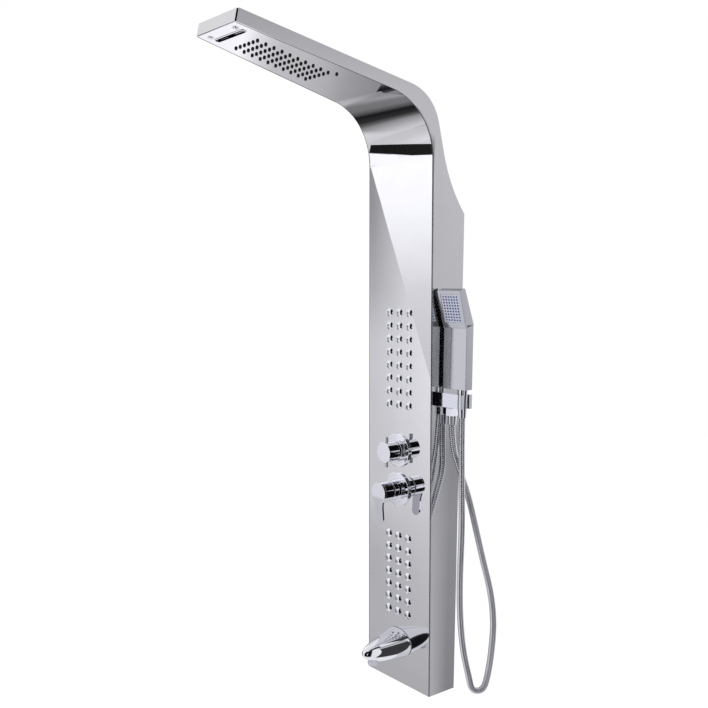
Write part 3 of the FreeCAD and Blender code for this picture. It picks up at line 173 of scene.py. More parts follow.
def surface(material, colour, tint, change, gloss, relief=None, **numbers):
    """End a material with its shader, whose colour, gloss and height follow patterns.

    tint darkens the colour by up to a share, the change. Each gloss is a pattern and the roughness at its
    low and high ends, and they add up. relief is a pattern and its height in millimetres.
    """
    tree = material.node_tree
    share = add(tree, "ShaderNodeMapRange", {"Value": tint, **NOISE_SPAN}).outputs["Result"]
    shaded = add(tree, "ShaderNodeMix", {0: share, 6: scaled(colour, 1 - change), 7: tuple(colour)},
                 data_type="RGBA").outputs[2]
    rough = 0.0
    for pattern, low, high in gloss:
        ends = {"To Min": low, "To Max": high}
        part = add(tree, "ShaderNodeMapRange", {"Value": pattern, **NOISE_SPAN, **ends}).outputs["Result"]
        rough = add(tree, "ShaderNodeMath", {0: rough, 1: part}, operation="ADD").outputs[0]
    inputs = {"Base Color": shaded, "Roughness": rough, **numbers}
    if relief:
        pattern, height = relief
        bump = add(tree, "ShaderNodeBump", {"Height": pattern, "Distance": height * MM, "Strength": 1.0})
        inputs["Normal"] = bump.outputs["Normal"]
    shader = add(tree, "ShaderNodeBsdfPrincipled", inputs)
    add(tree, "ShaderNodeOutputMaterial", {"Surface": shader.outputs["BSDF"]})
    return material


def polished_stainless(colour):
    """304 stainless sheet, ground and buffed to a mirror: sharp reflections that swim a little over it."""
    material, tree, place = start_material("polished_304_stainless")
    # the sheet isn't quite flat: swells about 90 mm across and 0.02 mm high
    swells = noise(tree, place, 90, 1.0)
    # buffing lines run up the sheet; they are 0.4 mm apart, and are drawn 1.2 mm apart so that they show
    lines = noise(tree, place, 1.2, 2.0, stretch=(1, 1, 60))
    smears = noise(tree, place, 45, 4.0, 0.6)
    return surface(material, colour, smears, 0.03, [(smears, 0.004, 0.012), (lines, 0.0, 0.004)],
                   (swells, 0.02), Metallic=1.0)


def bright_chrome(colour):
    """Chrome plate over polished brass: a hard mirror, faintly blue, with fine wiping marks."""
    material, tree, place = start_material("bright_chrome_plate")
    wipes = noise(tree, place, 12, 4.0, 0.6)
    return surface(material, colour, wipes, 0.03, [(wipes, 0.01, 0.03)], Metallic=1.0)


def cut_edge(colour):
    """The sheet's edge bead: the same steel, dull, and darkened as painted shade beside the mirror."""
    material, tree, place = start_material("brushed_cut_edge")
    strokes = noise(tree, place, 1.2)
    # painted shade: the colour is cut to 0.16 of the steel's, so the edge shows as a dark line
    return surface(material, scaled(colour, 0.16), strokes, 0.3, [(strokes, 0.35, 0.5)], Metallic=1.0)


def hose_chrome(colour):
    """Interlocked stainless strip: bright on the ribs, dull and in painted shade down in the grooves."""
    material = bpy.data.materials.new("interlocked_stainless_strip")
    tree = empty_tree(material)
    groove = add(tree, "ShaderNodeAttribute", attribute_name="groove").outputs["Fac"]
    # painted shade: the colour falls from a little above the chrome's on the ribs to a fifth of it in the
    # grooves
    shaded = add(tree, "ShaderNodeMix", {0: groove, 6: scaled(colour, 1.05), 7: scaled(colour, 0.2)},
                 data_type="RGBA").outputs[2]
    rough = add(tree, "ShaderNodeMapRange", {"Value": groove, "To Min": 0.2, "To Max": 0.5})
    shader = add(tree, "ShaderNodeBsdfPrincipled", {"Base Color": shaded, "Roughness": rough.outputs[0],
                                                    "Metallic": 1.0})
    add(tree, "ShaderNodeOutputMaterial", {"Surface": shader.outputs["BSDF"]})
    return material


def silver_abs(colour):
    """ABS with a thin satin plating: metallic, a little soft in its reflections, with slight flow marks."""
    material, tree, place = start_material("satin_plated_abs")
    flow = noise(tree, place, 30, 2.0, stretch=(1, 1, 3))
    return surface(material, colour, flow, 0.04, [(flow, 0.14, 0.2)], (flow, 0.04), Metallic=1.0)


def machined_brass(colour):
    """Turned brass: fine tool marks and slight tarnish."""
    material, tree, place = start_material("machined_brass")
    marks = noise(tree, place, 0.8, 2.0, stretch=(1, 30, 1))
    tarnish = noise(tree, place, 20, 4.0, 0.6)
    return surface(material, colour, tarnish, 0.22, [(tarnish, 0.2, 0.4)], (marks, 0.03), Metallic=1.0)


def zinc_plate(colour):
    """Zinc-plated pressed steel: cloudy grey with a faint crystal pattern."""
    material, tree, place = start_material("zinc_plated_steel")
    spread = {"Vector": place, "Scale": 1 / (6.25 * MM)}      # crystals about 6 mm across
    crystals = add(tree, "ShaderNodeTexVoronoi", spread).outputs["Distance"]
    return surface(material, colour, crystals, 0.15, [(crystals, 0.35, 0.5)], Metallic=1.0)


def soft_silicone(name, colour):
    """Moulded silicone: matt, with a fine eroded grain from its mould."""
    material, tree, place = start_material(name)
    grain = noise(tree, place, 0.6, 2.0)
    return surface(material, colour, grain, 0.2, [(grain, 0.45, 0.6)], (grain, 0.04), IOR=1.41)


def moulded_plastic(name, colour, roughness, grain_size):
    """Injection-moulded plastic: even colour, a fine sparked grain and a soft gloss."""
    material, tree, place = start_material(name)
    grain = noise(tree, place, grain_size, 2.0)
    cloud = noise(tree, place, 40, 2.0)
    return surface(material, colour, cloud, 0.06, [(grain, roughness - 0.05, roughness + 0.05)],
                   (grain, 0.03), IOR=1.53)


FINISHES = {}


def make_finishes(colours):
    FINISHES.update(
        stainless_sheet=polished_stainless(colours.stainless),
        cut_edge=cut_edge(colours.stainless),
        chrome=bright_chrome(colours.chrome),
        hose=hose_chrome(colours.chrome),
        silver_plastic=silver_abs(colours.silver_abs),
        brass=machined_brass(colours.brass),
        zinc_steel=zinc_plate(colours.zinc),
        dark_silicone=soft_silicone("dark_moulded_silicone", colours.silicone),
        jet_silicone=soft_silicone("grey_moulded_silicone", colours.jet_silicone),
        blue_silicone=soft_silicone("blue_moulded_silicone", colours.blue_silicone),
        pale_plastic=moulded_plastic("pale_moulded_abs", colours.spray_plate, 0.3, 0.8),
        grey_plastic=moulded_plastic("grey_moulded_abs", colours.grey_abs, 0.45, 1.2),
        white_tube=moulded_plastic("extruded_polyethylene", colours.white_tube, 0.4, 2.0),
    )
    FINISHES["polished_steel"] = FINISHES["stainless_sheet"]


# ------------------------------------------------------------------ meshes
def body_of_node(name):
    """The body that moves a CAD node."""
    for body, nodes in frame["record"]["behaviour"]["bodies"].items():
        if name in nodes:
            return body
    raise RuntimeError(f"no body holds {name}")


def slot_of_node(name):
    """The finish slot that the record gives a CAD node."""
    for part in frame["record"]["subparts"]:
        if part["node"] == name:
            return part["material_slot"]
    raise RuntimeError(f"no slot is given for {name}")


def finish_node(*names):
    """Keep CAD nodes as they are and give them their finish."""
    for name in names:
        node = frame["nodes"][name]
        node.data.materials.clear()
        node.data.materials.append(FINISHES[slot_of_node(name)])


def in_scene(name, data):
    """A new object in the scene that holds the data."""
    made = bpy.data.objects.new(name, data)
    bpy.context.scene.collection.objects.link(made)
    return made


def smooth(mesh, crease=None):
    """Shade the mesh smooth, but for edges sharper than the crease, in degrees."""
    mesh.polygons.foreach_set("use_smooth", [True] * len(mesh.polygons))
    if crease:
        mesh.set_sharp_from_angle(angle=math.radians(crease))


def place_piece(name, mesh, nodes, finish=None, crease=35.0, instead=True):
    """Put a finished mesh in the scene, riding on the body of the first of its CAD nodes.

    With no crease the mesh keeps the normals that its bevels gave it. It stands instead of the CAD nodes, or
    else it is trim that lies on them.
    """
    piece = in_scene(name, mesh)
    mesh.materials.clear()
    mesh.materials.append(FINISHES[finish or slot_of_node(nodes[0])])
    if crease:
        smooth(mesh, crease)
    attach(piece, body_of_node(nodes[0]))
    if instead:
        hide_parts(*nodes)
    return piece


def fix_normals(mesh):
    """Point the mesh's faces outwards."""
    bm = bmesh.new()
    bm.from_mesh(mesh)
    bmesh.ops.recalc_face_normals(bm, faces=bm.faces)
    bm.to_mesh(mesh)
    bm.free()


def mesh_from(name, bm):
    """A mesh of what was built, with its faces pointing outwards."""
    bmesh.ops.recalc_face_normals(bm, faces=bm.faces)
    mesh = bpy.data.meshes.new(name)
    bm.to_mesh(mesh)
    bm.free()
    return mesh


def face_matrix(height):
    """From millimetres across, up and out of the front face at a height to the frame's metres."""
    basis = Matrix((Vector((1, 0, 0)), FACE_UP, FACE_OUT)).transposed().to_4x4()
    place = Vector((0, -FACE_DEPTH, FOOT)) + FACE_UP * height
    return Matrix.Translation(place * MM) @ basis @ Matrix.Scale(MM, 4)


def arm_matrix(across, along):
    """From millimetres across, along and down from the arm's underside to the frame's metres."""
    basis = Matrix((Vector((1, 0, 0)), ARM_ALONG, ARM_DOWN)).transposed().to_4x4()
    place = Vector((across, 0, FOOT + UNDERSIDE)) + ARM_ALONG * along
    return Matrix.Translation(place * MM) @ basis @ Matrix.Scale(MM, 4)


def handset_matrix():
    """From the hand shower's own millimetres, its socket's axis on Z, to the frame's metres."""
    place = Matrix.Translation(Vector((*HANDSET_AXIS, FOOT)) * MM)
    return place @ Matrix.Rotation(HANDSET_TURN, 4, "Z") @ Matrix.Scale(MM, 4)


def head_matrix():
    """From the tilted head's millimetres (across, back, up from its lower edge) to the frame's metres."""
    foot = Matrix.Translation((0, -31.5, 795))
    return handset_matrix() @ foot @ Matrix.Rotation(HEAD_TILT, 4, "X")


def unmoved(matrix):
    """The matrix without its shift, for a piece that is moved to each of its places later."""
    return matrix.to_3x3().to_4x4()


def lofted(rings, closed=False):
    """A solid through rings of points: one point is a pole, and other ends are capped or joined."""
    bm = bmesh.new()
    loops = [[bm.verts.new(p) for p in ring] for ring in rings]
    for a, b in zip(loops, loops[1:] + (loops[:1] if closed else [])):
        count = max(len(a), len(b))
        for i in range(count):
            j = (i + 1) % count
            corners = [a[i % len(a)], a[j % len(a)], b[j % len(b)], b[i % len(b)]]
            bm.faces.new(list(dict.fromkeys(corners)))
    for end in [] if closed else (loops[0], loops[-1]):
        if len(end) > 2:
            bm.faces.new(end)
    return bm


def turned(profile, steps=96):
    """A solid turned about Z; its (radius, height) points start and end on the axis, or go round."""
    turns = [2 * math.pi * i / steps for i in range(steps)]
    rings = []
    for radius, height in profile:
        ring = [(radius * math.cos(a), radius * math.sin(a), height) for a in turns]
        rings.append(ring if radius else ring[:1])
    return lofted(rings, closed=profile[0][0] > 0)


def rounded_profile(points, radius, steps=4):
    """A (radius, height) profile with rounded corners; an extra point beside each keeps the flats flat."""
    made = [points[0]]
    for before, here, after in zip(points, points[1:], points[2:]):
        b, h, a = Vector(before), Vector(here), Vector(after)
        reach = min(radius, (b - h).length / 2.6, (a - h).length / 2.6)
        back, ahead = (b - h).normalized(), (a - h).normalized()
        start, end = h + back * reach, h + ahead * reach
        made.append(tuple(start + back * reach * 0.25))
        for i in range(steps + 1):
            t = i / steps
            made.append(tuple(start * (1 - t) ** 2 + h * 2 * t * (1 - t) + end * t ** 2))
        made.append(tuple(end + ahead * reach * 0.25))
    return made + [points[-1]]


def turned_on_face(name, node, height, profile, radius=0.6, steps=96):
    """A turned piece that stands on the front face at a height, with the corners of its profile rounded."""
    mesh = mesh_from(name, turned(rounded_profile(profile, radius), steps))
    mesh.transform(face_matrix(height))
    place_piece(name, mesh, [node], crease=50)


def joined(*meshes):
    """The meshes as one, with the normals that their bevels gave them."""
    holders = [in_scene("part", mesh) for mesh in meshes]
    with bpy.context.temp_override(active_object=holders[0], selected_editable_objects=holders):
        bpy.ops.object.join()
    made = holders[0].data
    bpy.data.objects.remove(holders[0])
    return made


def rounded_edges(mesh, width, angle=30.0):
    """The mesh with its edges rounded by a Bevel, and with normals that leave its large faces flat."""
    smooth(mesh)
    holder = in_scene("rounding", mesh)
    bevel = holder.modifiers.new("edges", "BEVEL")
    bevel.width = width
    bevel.segments = 3
    bevel.limit_method = "ANGLE"
    bevel.angle_limit = math.radians(angle)
    bevel.miter_outer = "MITER_ARC"
    bevel.use_clamp_overlap = True
    flats = holder.modifiers.new("flats", "WEIGHTED_NORMAL")
    flats.mode = "FACE_AREA"
    flats.weight = 100
    finished = evaluated_mesh(holder)
    bpy.data.objects.remove(holder)
    return finished


def softened(name, node, width):
    """A copy of a CAD node with its flat faces made whole and its edges rounded by a Bevel."""
    mesh = frame["nodes"][node].data.copy()
    bm = bmesh.new()
    bm.from_mesh(mesh)
    bmesh.ops.remove_doubles(bm, verts=bm.verts, dist=1e-6)
    bmesh.ops.dissolve_limit(bm, angle_limit=math.radians(0.5), verts=bm.verts, edges=bm.edges)
    bm.to_mesh(mesh)
    bm.free()
    place_piece(name, rounded_edges(mesh, width), [node], crease=None)


def evaluated_mesh(piece):
    """The mesh of an object with its modifiers applied."""
    bpy.context.view_layer.update()
    evaluated = piece.evaluated_get(bpy.context.evaluated_depsgraph_get())
    return bpy.data.meshes.new_from_object(evaluated)


# ------------------------------------------------------------------ geometry nodes
def start_tree(name, **sockets):
    """A geometry tree with named inputs; gives the tree and what it is given."""
    tree = bpy.data.node_groups.new(name, "GeometryNodeTree")
    tree.interface.new_socket("Geometry", in_out="OUTPUT", socket_type="NodeSocketGeometry")
    for label, kind in {**sockets, "Finish": "Material"}.items():
        tree.interface.new_socket(label, in_out="INPUT", socket_type=f"NodeSocket{kind}")
    return tree, add(tree, "NodeGroupInput").outputs


def end_tree(tree, given, geometry):
    """Realize the geometry, give it its finish and let the tree put it out."""
    real = add(tree, "GeometryNodeRealizeInstances", {"Geometry": geometry}).outputs["Geometry"]
    painted = add(tree, "GeometryNodeSetMaterial", {"Geometry": real, "Material": given["Finish"]})
    add(tree, "NodeGroupOutput", {"Geometry": painted.outputs["Geometry"]})
    return tree


def run_tree(name, tree, mesh, values):
    """Run a geometry tree on a mesh and give back the plain mesh that it makes."""
    holder = in_scene(name, mesh)
    modifier = holder.modifiers.new(name, "NODES")
    modifier.node_group = tree
    for item in tree.interface.items_tree:
        if item.in_out == "INPUT" and item.name in values:
            modifier[item.identifier] = values[item.name]
    made = evaluated_mesh(holder)
    bpy.data.objects.remove(holder)
    return made


def repeat_tree():
    """Puts a copy of one piece at every point."""
    tree, given = start_tree("repeat_piece", Points="Geometry", Piece="Object")
    piece = add(tree, "GeometryNodeObjectInfo", {"Object": given["Piece"]})
    copies = add(tree, "GeometryNodeInstanceOnPoints", {"Points": given["Points"],
                                                        "Instance": piece.outputs["Geometry"]})
    return end_tree(tree, given, copies.outputs["Instances"])


def repeated(name, piece_mesh, places, nodes, finish=None, backing=None, instead=True):
    """One piece's mesh repeated at every place, as one object; a CAD node's mesh may stand behind it."""
    piece = in_scene(name + "_piece", piece_mesh)
    points = bpy.data.meshes.new(name + "_points")
    points.from_pydata([tuple(p) for p in places], [], [])
    values = {"Piece": piece, "Finish": FINISHES[slot_of_node(nodes[0])]}
    made = run_tree(name, repeat_tree(), points, values)
    bpy.data.objects.remove(piece)
    if backing:
        bm = bmesh.new()
        bm.from_mesh(made)
        bm.from_mesh(frame["nodes"][backing].data)
        bm.to_mesh(made)
        bm.free()
    place_piece(name, made, nodes, finish, 40, instead)


def ribbed_tree():
    """Sweeps a round section along a line and cuts a groove between every two ribs."""
    tree, given = start_tree("ribbed_hose", Line="Geometry", Radius="Float", Pitch="Float", Depth="Float")
    # seven rings for each rib; the groove is deepest between two ribs and gone over half way up to the next
    step = add(tree, "ShaderNodeMath", {0: given["Pitch"], 1: 7.0}, operation="DIVIDE").outputs[0]
    curve = add(tree, "GeometryNodeMeshToCurve", {"Mesh": given["Line"]}).outputs["Curve"]
    fine = add(tree, "GeometryNodeResampleCurve", {"Curve": curve, "Length": step}, mode="LENGTH")
    along = add(tree, "GeometryNodeSplineParameter").outputs["Length"]
    half = add(tree, "ShaderNodeMath", {0: given["Pitch"], 1: 2.0}, operation="DIVIDE").outputs[0]
    wave = add(tree, "ShaderNodeMath", {0: along, 1: half}, operation="PINGPONG").outputs[0]
    share = add(tree, "ShaderNodeMath", {0: wave, 1: half}, operation="DIVIDE").outputs[0]
    fall = {"Value": share, "From Min": 0.0, "From Max": 0.55, "To Min": 1.0, "To Max": 0.0}
    groove = add(tree, "ShaderNodeMapRange", fall, interpolation_type="SMOOTHSTEP").outputs["Result"]
    cut = add(tree, "ShaderNodeMath", {0: groove, 1: given["Depth"]}, operation="MULTIPLY").outputs[0]
    radius = add(tree, "ShaderNodeMath", {0: given["Radius"], 1: cut}, operation="SUBTRACT").outputs[0]
    # the groove share is kept for the hose's finish, which paints shade into the grooves by it
    stored = add(tree, "GeometryNodeStoreNamedAttribute",
                 {"Geometry": fine.outputs["Curve"], "Name": "groove", "Value": groove},
                 data_type="FLOAT", domain="POINT").outputs["Geometry"]
    section = add(tree, "GeometryNodeCurvePrimitiveCircle", {"Resolution": 22, "Radius": 1.0})
    swept = add(tree, "GeometryNodeCurveToMesh", {"Curve": stored, "Profile Curve": section.outputs["Curve"],
                                                  "Scale": radius, "Fill Caps": True})
    return end_tree(tree, given, swept.outputs["Mesh"])


def bead_tree():
    """Sweeps a round bead along a line."""
    tree, given = start_tree("edge_bead", Line="Geometry", Radius="Float")
    curve = add(tree, "GeometryNodeMeshToCurve", {"Mesh": given["Line"]}).outputs["Curve"]
    section = add(tree, "GeometryNodeCurvePrimitiveCircle", {"Resolution": 16, "Radius": given["Radius"]})
    swept = add(tree, "GeometryNodeCurveToMesh", {"Curve": curve, "Profile Curve": section.outputs["Curve"],
                                                  "Fill Caps": True})
    return end_tree(tree, given, swept.outputs["Mesh"])


# ------------------------------------------------------------------ the pieces
# millimetres, with the column's foot at 0; from the outlet nut to the hand shower's cone nut
HOSE_ROUTE = [
    (114, -38, 610), (114, -38, 550), (126, -21, 488), (148, -16, 436), (170, -16, 374),
    (193, -17, 312), (218, -18, 252), (229, -19, 190), (223, -18, 122), (212.5, -16.5, 68),
    (206.5, -22.5, 39), (194.5, -44, 40), (190, -48, 69), (174, -50, 118), (163, -50, 182),
    (159, -50, 262), (157, -45, 372), (147, -38, 466), (134, -28, 562), (134, -28, 658),
]


class PieceOperator:
    """What every operator here shares."""
    bl_options = {"REGISTER", "UNDO"}

    def execute(self, context):
        self.build(context.scene.shower_panel_sizes)
        return {"FINISHED"}


class SHOWERPANEL_OT_finishes(bpy.types.Operator):
    """Make every finish from the colours in the panel"""
    bl_idname = "shower_panel.finishes"
    bl_label = "Finishes"

    def execute(self, context):
        make_finishes(context.scene.shower_panel_colours)
        return {"FINISHED"}


class SHOWERPANEL_OT_column(PieceOperator, bpy.types.Operator):
    """Finish the bent front sheet, the side walls, the arm's cover and the plate at its tip"""
    bl_idname = "shower_panel.column"
    bl_label = "Column and arm"

    def build(self, sizes):
        finish_node("front_sheet", "side_panel_left", "side_panel_right", "arm_cover")
        softened("arm_tip_plate", "arm_end_cap", sizes.sheet_round)
        for side, sign in (("left", -1), ("right", 1)):
            # the edge bead's finish is painted shade, a dark line along the fold; the fold line beside it is
            # polished steel
            edge_bead(f"edge_bead_{side}", sign, sizes.bead_radius, 0.5, "cut_edge")
            edge_bead(f"fold_line_{side}", sign, sizes.bead_radius, 2.9, "stainless_sheet")


def half_width_at(y):
    """Half the width of the column, and of the arm as it draws in towards its tip at y, in millimetres."""
    half, lost, taper_start, taper_length = 100, 34, 91.5, 451.5
    return half - lost * max(0, -y - taper_start) / taper_length


def edge_bead(name, sign, radius, inset, finish):
    """A line on the bent sheet: its edge bead in painted shade, or further in the side wall's polished fold.
    """
    bend, centre_out, centre_up = 130.0 + inset, -225.2, 1138.6      # the bend's radius and its middle
    arm_length, turns = 552, 24
    line = [Vector((0, -FACE_DEPTH, FOOT)) + FACE_UP * 0.5 - FACE_OUT * inset]
    for i in range(turns + 1):
        angle = LEAN + (math.pi / 2 - RISE - LEAN) * i / turns
        out, up = centre_out + bend * math.cos(angle), centre_up + bend * math.sin(angle)
        line.append(Vector((0, out, FOOT + up)))
    line.append(Vector((0, 0, FOOT + UNDERSIDE)) + ARM_ALONG * arm_length - ARM_DOWN * inset)
    for point in line:
        point.x = sign * (half_width_at(point.y) - 0.5)
    mesh = bpy.data.meshes.new(name)
    mesh.from_pydata([p * MM for p in line], [(i, i + 1) for i in range(len(line) - 1)], [])
    made = run_tree(name, bead_tree(), mesh, {"Radius": radius, "Finish": FINISHES[finish]})
    fix_normals(made)
    place_piece(name, made, ["front_sheet"], finish, instead=False)


class SHOWERPANEL_OT_wall_fixing(PieceOperator, bpy.types.Operator):
    """Finish the wall rails and the channels that hang on them"""
    bl_idname = "shower_panel.wall_fixing"
    bl_label = "Wall fixing"

    def build(self, sizes):
        finish_node("wall_rails", "hook_channels")


class SHOWERPANEL_OT_body_jets(PieceOperator, bpy.types.Operator):
    """Build both fields of domed body jets with their soft nozzles"""
    bl_idname = "shower_panel.body_jets"
    bl_label = "Body jets"

    def build(self, sizes):
        radius, high = sizes.jet_diameter / MM / 2, sizes.jet_height / MM
        rim, wall, seat = 1.0, 1.5, 3.0       # the dome's upright rim, its wall, and the radius of its hole
        ball = (radius ** 2 + (high - rim) ** 2) / (2 * (high - rim))
        dome = []
        for i in range(9):
            r = radius + (seat - radius) * i / 8
            dome.append((r, high - ball + math.sqrt(ball ** 2 - r ** 2)))
        top = dome[-1][1]
        cap = [(seat, -2), (radius - wall, -2), (radius - wall, 0), (radius, 0)] + dome[:-1]
        cap += [(seat + 0.3, top), (seat, top - 0.5)]
        stem, bore, lip = seat - 0.1, 1.3, high + 0.6
        nozzle = [(0, 1.5), (bore, 1.5), (bore, lip - 0.3), (1.6, lip), (2.2, lip), (stem, high), (stem, -1),
                  (0, -1)]
        fields = (("upper", UPPER_JETS_UP, sizes.upper_jet_rows),
                  ("lower", LOWER_JETS_UP, sizes.lower_jet_rows))
        for field, top_row, rows in fields:
            places = []
            for row in range(rows):
                for column in (-1, 0, 1):
                    across = column * sizes.jet_spacing
                    up = top_row * MM - row * sizes.jet_pitch
                    places.append(Vector((across, -FACE_DEPTH * MM, FOOT * MM)) + FACE_UP * up)
            for kind, profile, node, finish in (("domes", cap, f"{field}_jet_faces", None),
                                                ("nozzles", nozzle, f"{field}_jet_nozzles", "jet_silicone")):
                mesh = mesh_from(kind, turned(profile, 32))
                mesh.transform(unmoved(face_matrix(0)))
                repeated(f"{field}_jet_{kind}", mesh, places, [node], finish)
            finish_node(f"{field}_jet_nuts", f"{field}_water_box")


class SHOWERPANEL_OT_arm_outlets(PieceOperator, bpy.types.Operator):
    """Finish the rain field, the waterfall outlet and the two screws under the arm"""
    bl_idname = "shower_panel.arm_outlets"
    bl_label = "Rain field and waterfall"

    def build(self, sizes):
        finish_node("rain_chamber", "waterfall_outlet", "arm_tip_screws")
        high = sizes.rain_nozzle_height / MM
        profile = [(0, -1.5), (3.1, -1.5), (3.1, 0), (2.7, high * 0.75), (2.2, high), (1.1, high),
                   (0.8, high - 1), (0, high - 1)]
        nozzle = mesh_from("rain_nozzle", turned(profile, 16))
        nozzle.transform(unmoved(arm_matrix(0, 0)))
        # one nozzle stands before the field, which has ten rows of six
        spots = [(42, 306)]
        field = [(row, column) for row in range(10) for column in range(6)]
        spots += [(-5 + (column - 2.5) * 14.7, 319.5 + row * 18.3) for row, column in field]
        places = [arm_matrix(*spot).translation for spot in spots]
        repeated("rain_nozzles", nozzle, places, ["rain_nozzle_mat"], backing="rain_nozzle_mat")
        ring = [(3.7, -0.3), (6.2, -0.3), (6.2, 0.2), (5.6, 0.9), (4.3, 0.9), (3.7, 0.4)]
        cup = mesh_from("cup", turned(ring, 48))
        cup.transform(unmoved(arm_matrix(0, 0)))
        places = [arm_matrix(*spot).translation for spot in TIP_SCREWS]
        repeated("tip_screw_cups", cup, places, ["arm_tip_screws"], instead=False)


class SHOWERPANEL_OT_diverter(PieceOperator, bpy.types.Operator):
    """Build the diverter's flange and collar, and finish its knob and what is behind it"""
    bl_idname = "shower_panel.diverter"
    bl_label = "Diverter"

    def build(self, sizes):
        finish_node("diverter_valve_body", "diverter_cartridge", "diverter_bonnet", "diverter_spindle",
                    "diverter_set_screw", "diverter_knob_pins", "diverter_knob")
        flange_on_face("diverter_flange_dome", "diverter_flange", DIVERTER_UP)
        turned_on_face("diverter_collar_ring", "diverter_collar", DIVERTER_UP,
                       [(8, 5.5), (24.5, 5.5), (24.5, 12.9), (8, 12.9)], 1.2)


class SHOWERPANEL_OT_mixer(PieceOperator, bpy.types.Operator):
    """Build the lever mixer's flange and sleeve, and its lever"""
    bl_idname = "shower_panel.mixer"
    bl_label = "Lever mixer"

    def build(self, sizes):
        finish_node("mixer_valve_body", "mixer_cartridge", "mixer_bonnet", "mixer_stem", "mixer_lever_pin")
        flange_on_face("mixer_flange_dome", "mixer_flange", MIXER_UP)
        bore = GRIP_RADIUS - 1.8
        sleeve = [(bore, 5.5), (GRIP_RADIUS, 5.5), (GRIP_RADIUS, 28), (GRIP_RADIUS - 1, 29), (bore, 29)]
        turned_on_face("mixer_sleeve_ring", "mixer_sleeve", MIXER_UP, sleeve, 0.4)
        # the hub's hollow is a ball about the lever's pivot, so that the sleeve stays clear as it lifts
        ball, pivot, mouth, back, front = 27.1, 14.0, 20.7, 31.5, 55.5
        rim = math.asin(mouth / ball)
        hollow = [(ball * math.sin(rim * i / 10), pivot + ball * math.cos(rim * i / 10)) for i in range(10)]
        outline = [(mouth, back), (GRIP_RADIUS, back), (GRIP_RADIUS, front), (0, front)]
        hub = mesh_from("lever_hub", turned(hollow + rounded_profile(outline, 1.0)))
        plate = mesh_from("lever_plate", lever_plate())
        for mesh in (hub, plate):
            mesh.transform(face_matrix(MIXER_UP))
        smooth(hub, 40)
        blade = joined(rounded_edges(plate, sizes.edge_round, 50), hub)
        place_piece("mixer_lever_blade", blade, ["mixer_lever"], crease=None)


def flange_on_face(name, node, height):
    """An upright rim, a nearly flat ring that shows what the face shows, and a step up to the grip."""
    inside, outside, rim, top = GRIP_RADIUS, 37, 4.1, 5.5
    profile = [(inside, 0), (outside, 0), (outside, rim), (35.8, 4.9), (28.2, 5.2), (26.8, top),
               (inside, top)]
    turned_on_face(name, node, height, profile, 0.7, 128)


def lever_plate():
    """The lever's flat front: a disc that narrows into a paddle, which leans in towards the wall."""
    hang, knee, end, thick, front = -10.2, -34.2, -67.0, 4.0, 59.0
    shoulder, tip = 19.5, 11.5        # half the width where the paddle starts, and at its end

    def half_width(y):
        if y > hang:
            return math.sqrt(max(GRIP_RADIUS ** 2 - y ** 2, 0.25))
        if y > knee:
            t = (hang - y) / (hang - knee)
            return shoulder * (1 - t) ** 2 + 2 * (tip - 0.1) * t * (1 - t) + tip * t ** 2
        return tip if y > end + tip else math.sqrt(max(tip ** 2 - (end + tip - y) ** 2, 0.25))

    heights = [GRIP_RADIUS * math.cos(math.pi * i / 24) for i in range(16)]
    heights += [heights[-1] + (end + tip - heights[-1]) * i / 18 for i in range(1, 19)]
    heights += [end + tip - tip * math.sin(math.pi / 2 * i / 10) for i in range(1, 11)]
    rings = []
    for y in heights:
        w = half_width(y)
        out = front - max(0, hang - y) * math.tan(math.radians(5))
        rings.append([(-w, y, out - thick), (w, y, out - thick), (w, y, out), (-w, y, out)])
    return lofted(rings)


class SHOWERPANEL_OT_spout(PieceOperator, bpy.types.Operator):
    """Build the oval tub spout and finish what fixes it"""
    bl_idname = "shower_panel.spout"
    bl_label = "Tub spout"

    def build(self, sizes):
        finish_node("spout_aerator", "spout_shank", "spout_gasket", "spout_nut", "spout_elbow")
        root, squeeze = 32, 0.95      # half the height at the face, and its share in the joint there
        turns = [2 * math.pi * k / 96 for k in range(96)]
        stations = [(0, squeeze), (1.3, squeeze)]
        stations += [(SPOUT_REACH * (1 - (1 - i / 60) ** 2) + 1.5 * (1 - i / 60), 1) for i in range(61)]
        rings = []
        for along, swell in stations:
            s = along / SPOUT_REACH
            high = swell * root * (1 - 0.43 * s + 0.055 * s * s) * math.sqrt(max(1 - s ** 4, 0))
            wide = high * (1 + 0.375 * (1 - s))
            drop = 4.5 * (2 * s / 0.75 - (s / 0.75) ** 2)
            if s == 1:
                rings.append([(0, -drop, along)])
            else:
                rings.append([(wide * math.cos(a), high * math.sin(a) - drop, along) for a in turns])
        mesh = mesh_from("spout", lofted(rings))
        mesh.transform(face_matrix(SPOUT_UP))
        place_piece("spout_shell", mesh, ["spout_body"], crease=50)


class SHOWERPANEL_OT_holder(PieceOperator, bpy.types.Operator):
    """Round the edges of the fork that holds the hand shower, and finish its nuts"""
    bl_idname = "shower_panel.holder"
    bl_label = "Hand shower holder"

    def build(self, sizes):
        softened("holder_fork", "hand_shower_holder", sizes.edge_round)
        finish_node("holder_nut", "hose_outlet_nut")


